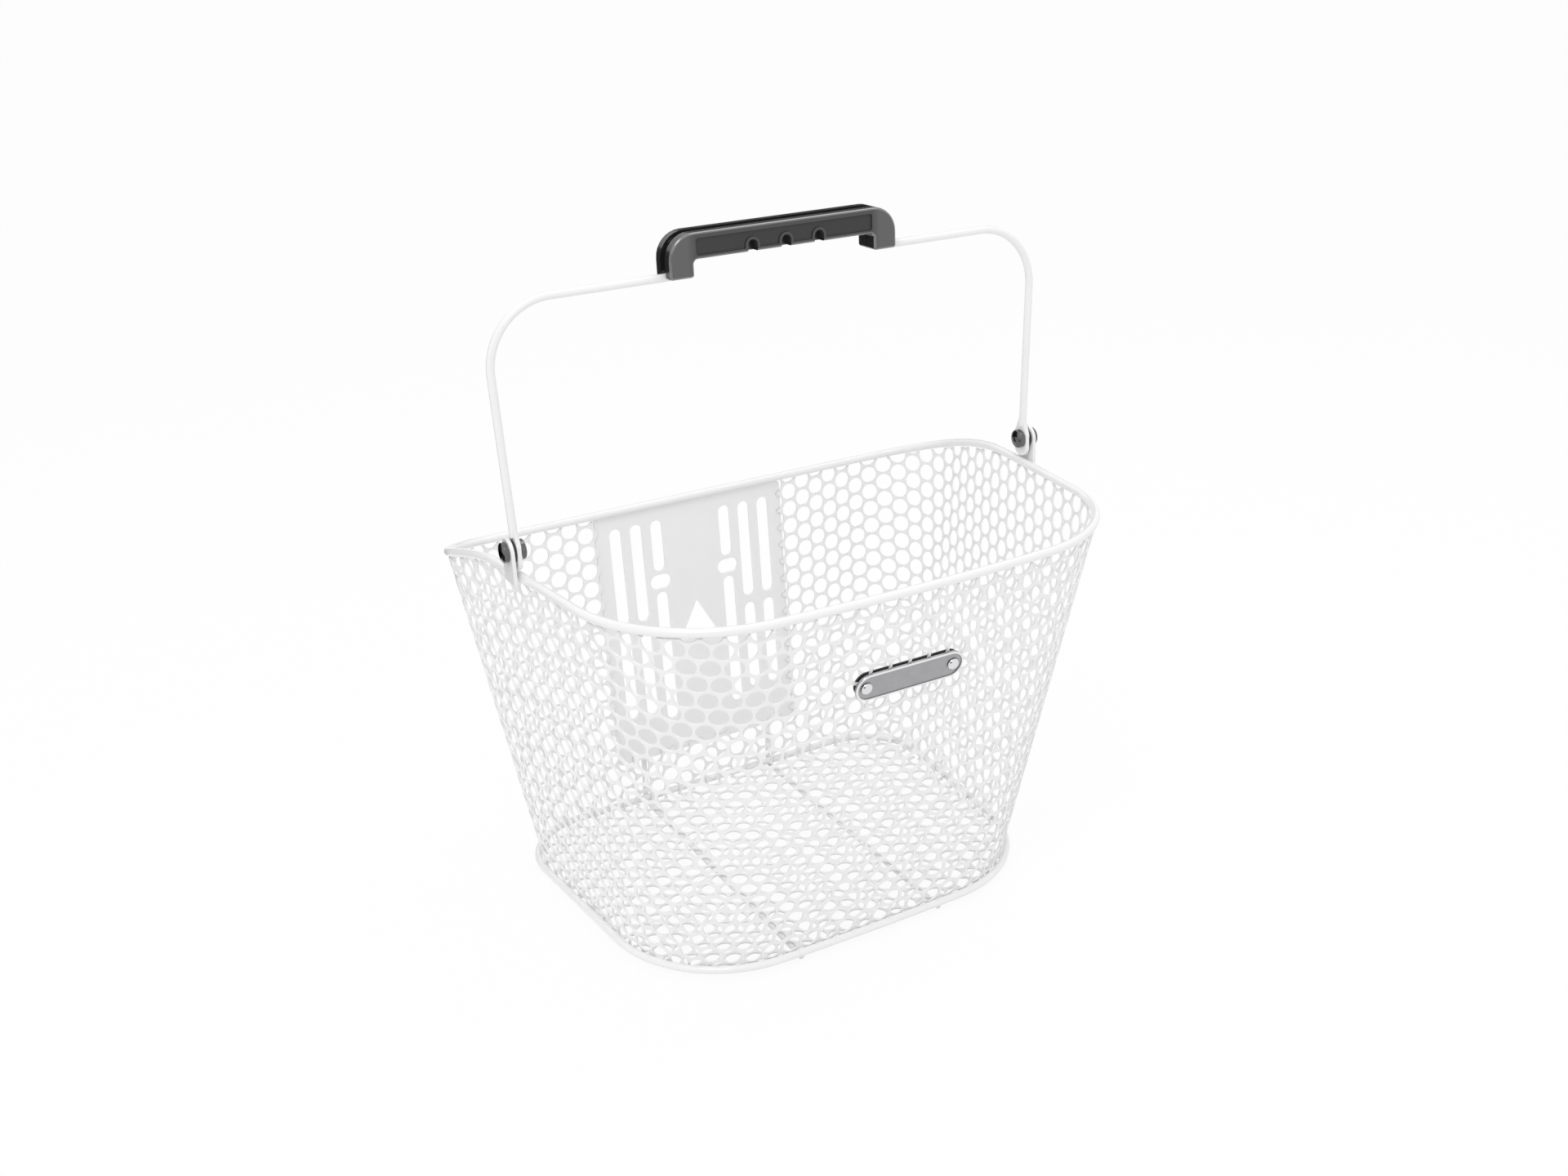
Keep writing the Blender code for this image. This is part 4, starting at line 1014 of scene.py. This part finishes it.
for label, side in (("front", -1), ("rear", 1)):
    shell = grip.copy()
    shell.data = grip.data.copy()
    shell.name = "grip_half_" + label
    bpy.context.scene.collection.objects.link(shell)
    bpy.ops.object.select_all(action="DESELECT")
    bpy.ops.mesh.primitive_cube_add(size=1.0)
    block = bpy.context.object
    reach = 4 * GRIP_HALF
    other_half = Matrix.Translation((0.0, side * (GAP - reach) / 2, GRIP_TOP))
    block.data.transform(other_half @ Matrix.Scale(reach, 4))
    carve(shell, block)
    close_up(shell)
    apply(shell, "BEVEL", width=MOULD_EDGE, segments=3, limit_method="ANGLE", angle_limit=BEVEL_FROM)
    soften(shell)
    fit(shell, "bail", grip_plastic, "black_grip_plastic", "grip_" + label + "_shell")
bpy.data.objects.remove(grip, do_unlink=True)

# Grip screws: two zinc plated pan-head screws with cross recesses, sunk in the rear half and driven into
# the front one, in the span below the wire.
SCREW_RADIUS = 0.00125
SCREW_RISE = 0.0014
SCREW_TIP = -0.0048
SCREW_POINT = 0.0010
RECESS = (0.0018, 0.0026, 0.0006)
ZINC = (0.60, 0.60, 0.59, 1.0)
ZINC_DULL = (0.46, 0.46, 0.47, 1.0)
zinc, shader, place = new_finish("zinc_screw", {"Metallic": 1.0})
bloom = place.noise(500.0, 4.0)
feed(
    shader,
    {"Base Color": bloom.between(ZINC_DULL, ZINC), "Roughness": 0.25 + 0.2 * bloom},
)
for label, hand in (("left", -1), ("right", 1)):
    shank = [
        (SCREW_SEAT, SCREW_RADIUS),
        (SCREW_TIP + SCREW_POINT, SCREW_RADIUS),
        (SCREW_TIP, SCREW_RADIUS / 3),
        (SCREW_TIP, 0.0),
    ]
    head = SCREW_SEAT + SCREW_RISE
    screw = button("pan_screw_" + label, SCREW_SEAT, head, SCREW_HEAD, shank)
    for turn in (0.0, math.pi / 2):
        bpy.ops.object.select_all(action="DESELECT")
        bpy.ops.mesh.primitive_cube_add(size=1.0)
        recess = bpy.context.object
        turned_bar = Matrix.Rotation(turn, 4, "X") @ Matrix.Diagonal((*RECESS, 1.0))
        recess.data.transform(Matrix.Translation((head, 0.0, 0.0)) @ turned_bar)
        carve(screw, recess)
    spot = Matrix.Translation((hand * SCREW_X, 0.0, SCREW_Z))
    screw.data.transform(spot @ Matrix.Rotation(math.pi / 2, 4, "Z"))
    soften(screw)
    fit(screw, "bail", zinc, "zinc_screw", "grip_screw_" + label)

# Badge: a stamped metal plate with round ends, a polished raised border and a bare brushed field. Two
# rivets hold it through the sheet to a black plate inside the basket.
BADGE_AT = (0.0, -0.122568, 0.18645)
BADGE_TILT = 0.217123
BADGE_LENGTH = 0.0670
BADGE_HEIGHT = 0.0165
BADGE_THICKNESS = 0.0018
BADGE_BACK = 0.0008
BADGE_BORDER = 0.0011
BADGE_RECESS = 0.0006
BADGE_EDGE = 0.0004
BORDER_EDGE = 0.00012
BACKING_INSET = 0.0010
BACKING_THICKNESS = 0.0012
BACKING_EDGE = 0.0003
BACKING_FRONT = -0.001268
RIVET_X = 0.0270
RIVET_HEAD = 0.0035
RIVET_RISE = 0.0016
RIVET_CROWN = ((1.0, 0.0), (1.0, 0.45), (0.93, 0.62), (0.75, 0.79), (0.45, 0.93), (0.15, 1.0))
RIVET_SHANK = 0.0016
RIVET_TAIL = 0.0028
RIVET_TAIL_RISE = 0.0014
PEWTER = (0.50, 0.50, 0.51, 1.0)
PEWTER_DARK = (0.30, 0.30, 0.31, 1.0)
POLISHED = (0.82, 0.82, 0.83, 1.0)
BRUSH_SCALE = (12.0, 2600.0, 2600.0)
BACKING_DARK = (0.012, 0.012, 0.012, 1.0)
BACKING_PALE = (0.024, 0.024, 0.024, 1.0)
badge_place = Matrix.Translation(BADGE_AT) @ Matrix.Rotation(math.pi / 2 + BADGE_TILT, 4, "X")
badge_metal, shader, place = new_finish("badge_metal", {"Metallic": 1.0})
to_badge = badge_place.inverted()
laid_flat = {"Vector": place, "Location": to_badge.translation, "Rotation": to_badge.to_euler()}
on_badge = place.node("ShaderNodeMapping", {}, laid_flat)
height = on_badge.node("ShaderNodeSeparateXYZ", {}, {"Vector": on_badge}, 2)
border = height > BADGE_BACK + BADGE_THICKNESS - BADGE_RECESS / 2
lines = on_badge.node("ShaderNodeMapping", {}, {"Vector": on_badge, "Scale": BRUSH_SCALE})
brushed = lines.noise(1.0, 3.0)
tarnish = place.noise(160.0, 3.0)
pewter = (0.6 * brushed + 0.4 * tarnish).between(PEWTER_DARK, PEWTER)
feed(
    shader,
    {
        "Base Color": border.between(pewter, POLISHED),
        "Roughness": (0.24 + 0.22 * brushed) * (1.0 - 0.7 * border),
        "Normal": (brushed * (1.0 - 0.9 * border)).bump(0.12, 0.0001),
    },
)
badge_black, shader, place = new_finish("black_backing", {})
speck = place.noise(700.0, 2.0)
feed(
    shader,
    {
        "Base Color": speck.between(BACKING_DARK, BACKING_PALE),
        "Roughness": 0.40 + 0.2 * speck,
        "Normal": speck.bump(0.1, 0.0002),
    },
)


def badge_loop(inset):
    """The badge's long round-ended outline, moved inwards by inset."""
    half, high = BADGE_LENGTH / 2 - inset, BADGE_HEIGHT / 2 - inset
    corners = ((half, high), (-half, high), (-half, -high), (half, -high))
    return rounded_loop([(x, y, high - HAIR) for x, y in corners], steps=14)


face = BADGE_BACK + BADGE_THICKNESS
badge = flat_plate("badge_face", [badge_loop(0.0)], BADGE_THICKNESS, BADGE_EDGE)
badge.data.transform(Matrix.Translation((0.0, 0.0, face - BADGE_THICKNESS / 2)))
field = flat_plate("field", [badge_loop(BADGE_BORDER)], 2 * BADGE_RECESS, 0.0)
field.data.transform(Matrix.Translation((0.0, 0.0, face)))
carve(badge, field)
apply(badge, "BEVEL", width=BORDER_EDGE, segments=2, limit_method="ANGLE", angle_limit=BEVEL_FROM)
badge.data.transform(badge_place)
soften(badge)
fit(badge, "basket", badge_metal, "badge_metal", "badge_plate")
backing = flat_plate("badge_back", [badge_loop(BACKING_INSET)], BACKING_THICKNESS, BACKING_EDGE)
backing_middle = BACKING_FRONT - BACKING_THICKNESS / 2
backing.data.transform(badge_place @ Matrix.Translation((0.0, 0.0, backing_middle)))
soften(backing)
fit(backing, "basket", badge_black, "black_backing", "badge_backing_plate")
for label, side in (("left", -1), ("right", 1)):
    rivet_seat = face - BADGE_RECESS + GAP
    rivet_end = BACKING_FRONT - BACKING_THICKNESS - GAP
    crown = [(rivet_seat + share * RIVET_RISE, reach * RIVET_HEAD) for share, reach in RIVET_CROWN]
    tail = dome(0.0, RIVET_TAIL_RISE, RIVET_TAIL)
    tail = [(rivet_end - x, radius) for x, radius in tail]
    rivet_profile = [
        *crown,
        (rivet_seat, RIVET_HEAD),
        (rivet_seat, RIVET_SHANK),
        (rivet_end, RIVET_SHANK),
        *tail,
    ]
    rivet = turned("badge_stud_" + label, rivet_profile)
    turn = Matrix.Rotation(-math.pi / 2, 4, "Y")
    rivet.data.transform(badge_place @ Matrix.Translation((side * RIVET_X, 0.0, 0.0)) @ turn)
    soften(rivet)
    fit(rivet, "basket", chrome, "chrome_hardware", "badge_rivet_" + label)

# Studio: a white floor that keeps a faint shadow, an even white surround, a light overhead and one in
# front, and dark cards that only reflections see, so that plated and polished parts have contrast.
FLOOR_SIZE = 40.0
FLOOR_GLOW = 0.90
FLOOR_WHITE = (0.92, 0.92, 0.92, 1.0)
FLOOR_ROUGHNESS = 0.9
FLOOR_DROP = 0.0001
SURROUND = 0.83
PLAIN_WHITE = (1.0, 1.0, 1.0, 1.0)
LAMP_AIM = (0.0, 0.0, 0.18)
CARD_BLACK = (0.01, 0.01, 0.01, 1.0)


def seen_itself(tree):
    """One for the rays that show a surface itself: from the camera, off gloss or through glass."""
    rays = tree.nodes.new("ShaderNodeLightPath")
    seen = Shade(rays.outputs["Is Camera Ray"]) + Shade(rays.outputs["Is Glossy Ray"])
    return seen + Shade(rays.outputs["Is Transmission Ray"])


bpy.ops.object.select_all(action="DESELECT")
bpy.ops.mesh.primitive_plane_add(size=FLOOR_SIZE, location=(0.0, 0.0, -FLOOR_DROP))
ground = bpy.context.object
ground.name = "studio_floor"
ground_coat = bpy.data.materials.new("studio_floor")
ground_coat.use_nodes = True
tree = ground_coat.node_tree
shader = tree.nodes["Principled BSDF"]
shader.inputs["Base Color"].default_value = FLOOR_WHITE
shader.inputs["Roughness"].default_value = FLOOR_ROUGHNESS
shader.inputs["Specular IOR Level"].default_value = 0.0
seen = seen_itself(tree)
glow = seen.node("ShaderNodeEmission", {}, {"Color": PLAIN_WHITE, "Strength": 1.0})
mixed = seen.node("ShaderNodeMixShader", {}, {0: seen * FLOOR_GLOW, 1: Shade(shader.outputs[0]), 2: glow})
tree.links.new(mixed.socket, tree.nodes["Material Output"].inputs["Surface"])
ground.data.materials.append(ground_coat)

surround = bpy.data.worlds.new("studio")
surround.use_nodes = True
bpy.context.scene.world = surround
tree = surround.node_tree
dim = tree.nodes["Background"]
dim.inputs["Color"].default_value = PLAIN_WHITE
dim.inputs["Strength"].default_value = SURROUND
seen = seen_itself(tree)
bright = seen.node("ShaderNodeBackground", {}, {"Color": PLAIN_WHITE, "Strength": 1.0})
mixed = seen.node("ShaderNodeMixShader", {}, {0: seen, 1: Shade(dim.outputs[0]), 2: bright})
tree.links.new(mixed.socket, tree.nodes["World Output"].inputs["Surface"])

aim = Vector(LAMP_AIM)
for name, spot, size, power in (
    ("overhead_light", (0.70, 0.10, 1.7), 0.8, 3.2),
    ("front_light", (-0.9, -0.95, 2.1), 0.8, 12.0),
):
    bpy.ops.object.light_add(type="AREA", location=spot)
    lamp = bpy.context.object
    lamp.name = name
    lamp.data.size = size
    lamp.data.energy = power
    lamp.rotation_euler = (aim - Vector(spot)).to_track_quat("-Z", "Y").to_euler()

card_coat = bpy.data.materials.new("studio_card")
card_coat.use_nodes = True
card_coat.node_tree.nodes["Principled BSDF"].inputs["Base Color"].default_value = CARD_BLACK
for name, spot, size, look in (
    ("dark_card_near", (-0.62, 0.30, 0.001), (0.5, 0.4), (-0.62, 0.30, 1.0)),
    ("dark_card_far", (-0.48, 0.70, 0.001), (0.74, 0.4), (-0.48, 0.70, 1.0)),
    ("dark_card_left", (-0.55, 0.90, 0.30), (0.9, 0.6), (-0.55, 0.0, 0.30)),
    ("dark_card_front", (-0.65, -1.19, 0.37), (0.8, 0.5), (0.0, -0.12, 0.19)),
    ("dark_card_right", (0.62, 1.13, 0.60), (0.9, 0.5), (0.0, 0.0, 0.40)),
):
    bpy.ops.object.select_all(action="DESELECT")
    bpy.ops.mesh.primitive_plane_add(size=1.0)
    card = bpy.context.object
    card.name = name
    turn = (Vector(look) - Vector(spot)).to_track_quat("Z", "Y").to_matrix().to_4x4()
    card.data.transform(Matrix.Translation(spot) @ turn @ Matrix.Diagonal((*size, 1.0, 1.0)))
    card.data.materials.append(card_coat)
    card.visible_camera = False
    card.visible_diffuse = False
    card.visible_shadow = False

# Camera: where the photograph was taken from, to the left of the front and above, with the photograph's
# field of view in a frame of four to three.
CAMERA_AT = (-0.42420, -0.77294, 0.56084)
CAMERA_RIGHT = (0.87095, -0.48989, -0.03829)
CAMERA_UP = (0.21963, 0.31840, 0.92217)
CAMERA_BACK = (-0.43957, -0.81157, 0.38490)
CAMERA_LENS = 37.54
CAMERA_SENSOR = 36.0
bpy.ops.object.camera_add()
camera = bpy.context.object
turn = Matrix((CAMERA_RIGHT, CAMERA_UP, CAMERA_BACK)).transposed().to_4x4()
camera.matrix_world = Matrix.Translation(CAMERA_AT) @ turn
camera.data.sensor_fit = "HORIZONTAL"
camera.data.sensor_width = CAMERA_SENSOR
camera.data.lens = CAMERA_LENS
bpy.context.scene.camera = camera
bpy.context.scene.view_settings.view_transform = "Standard"
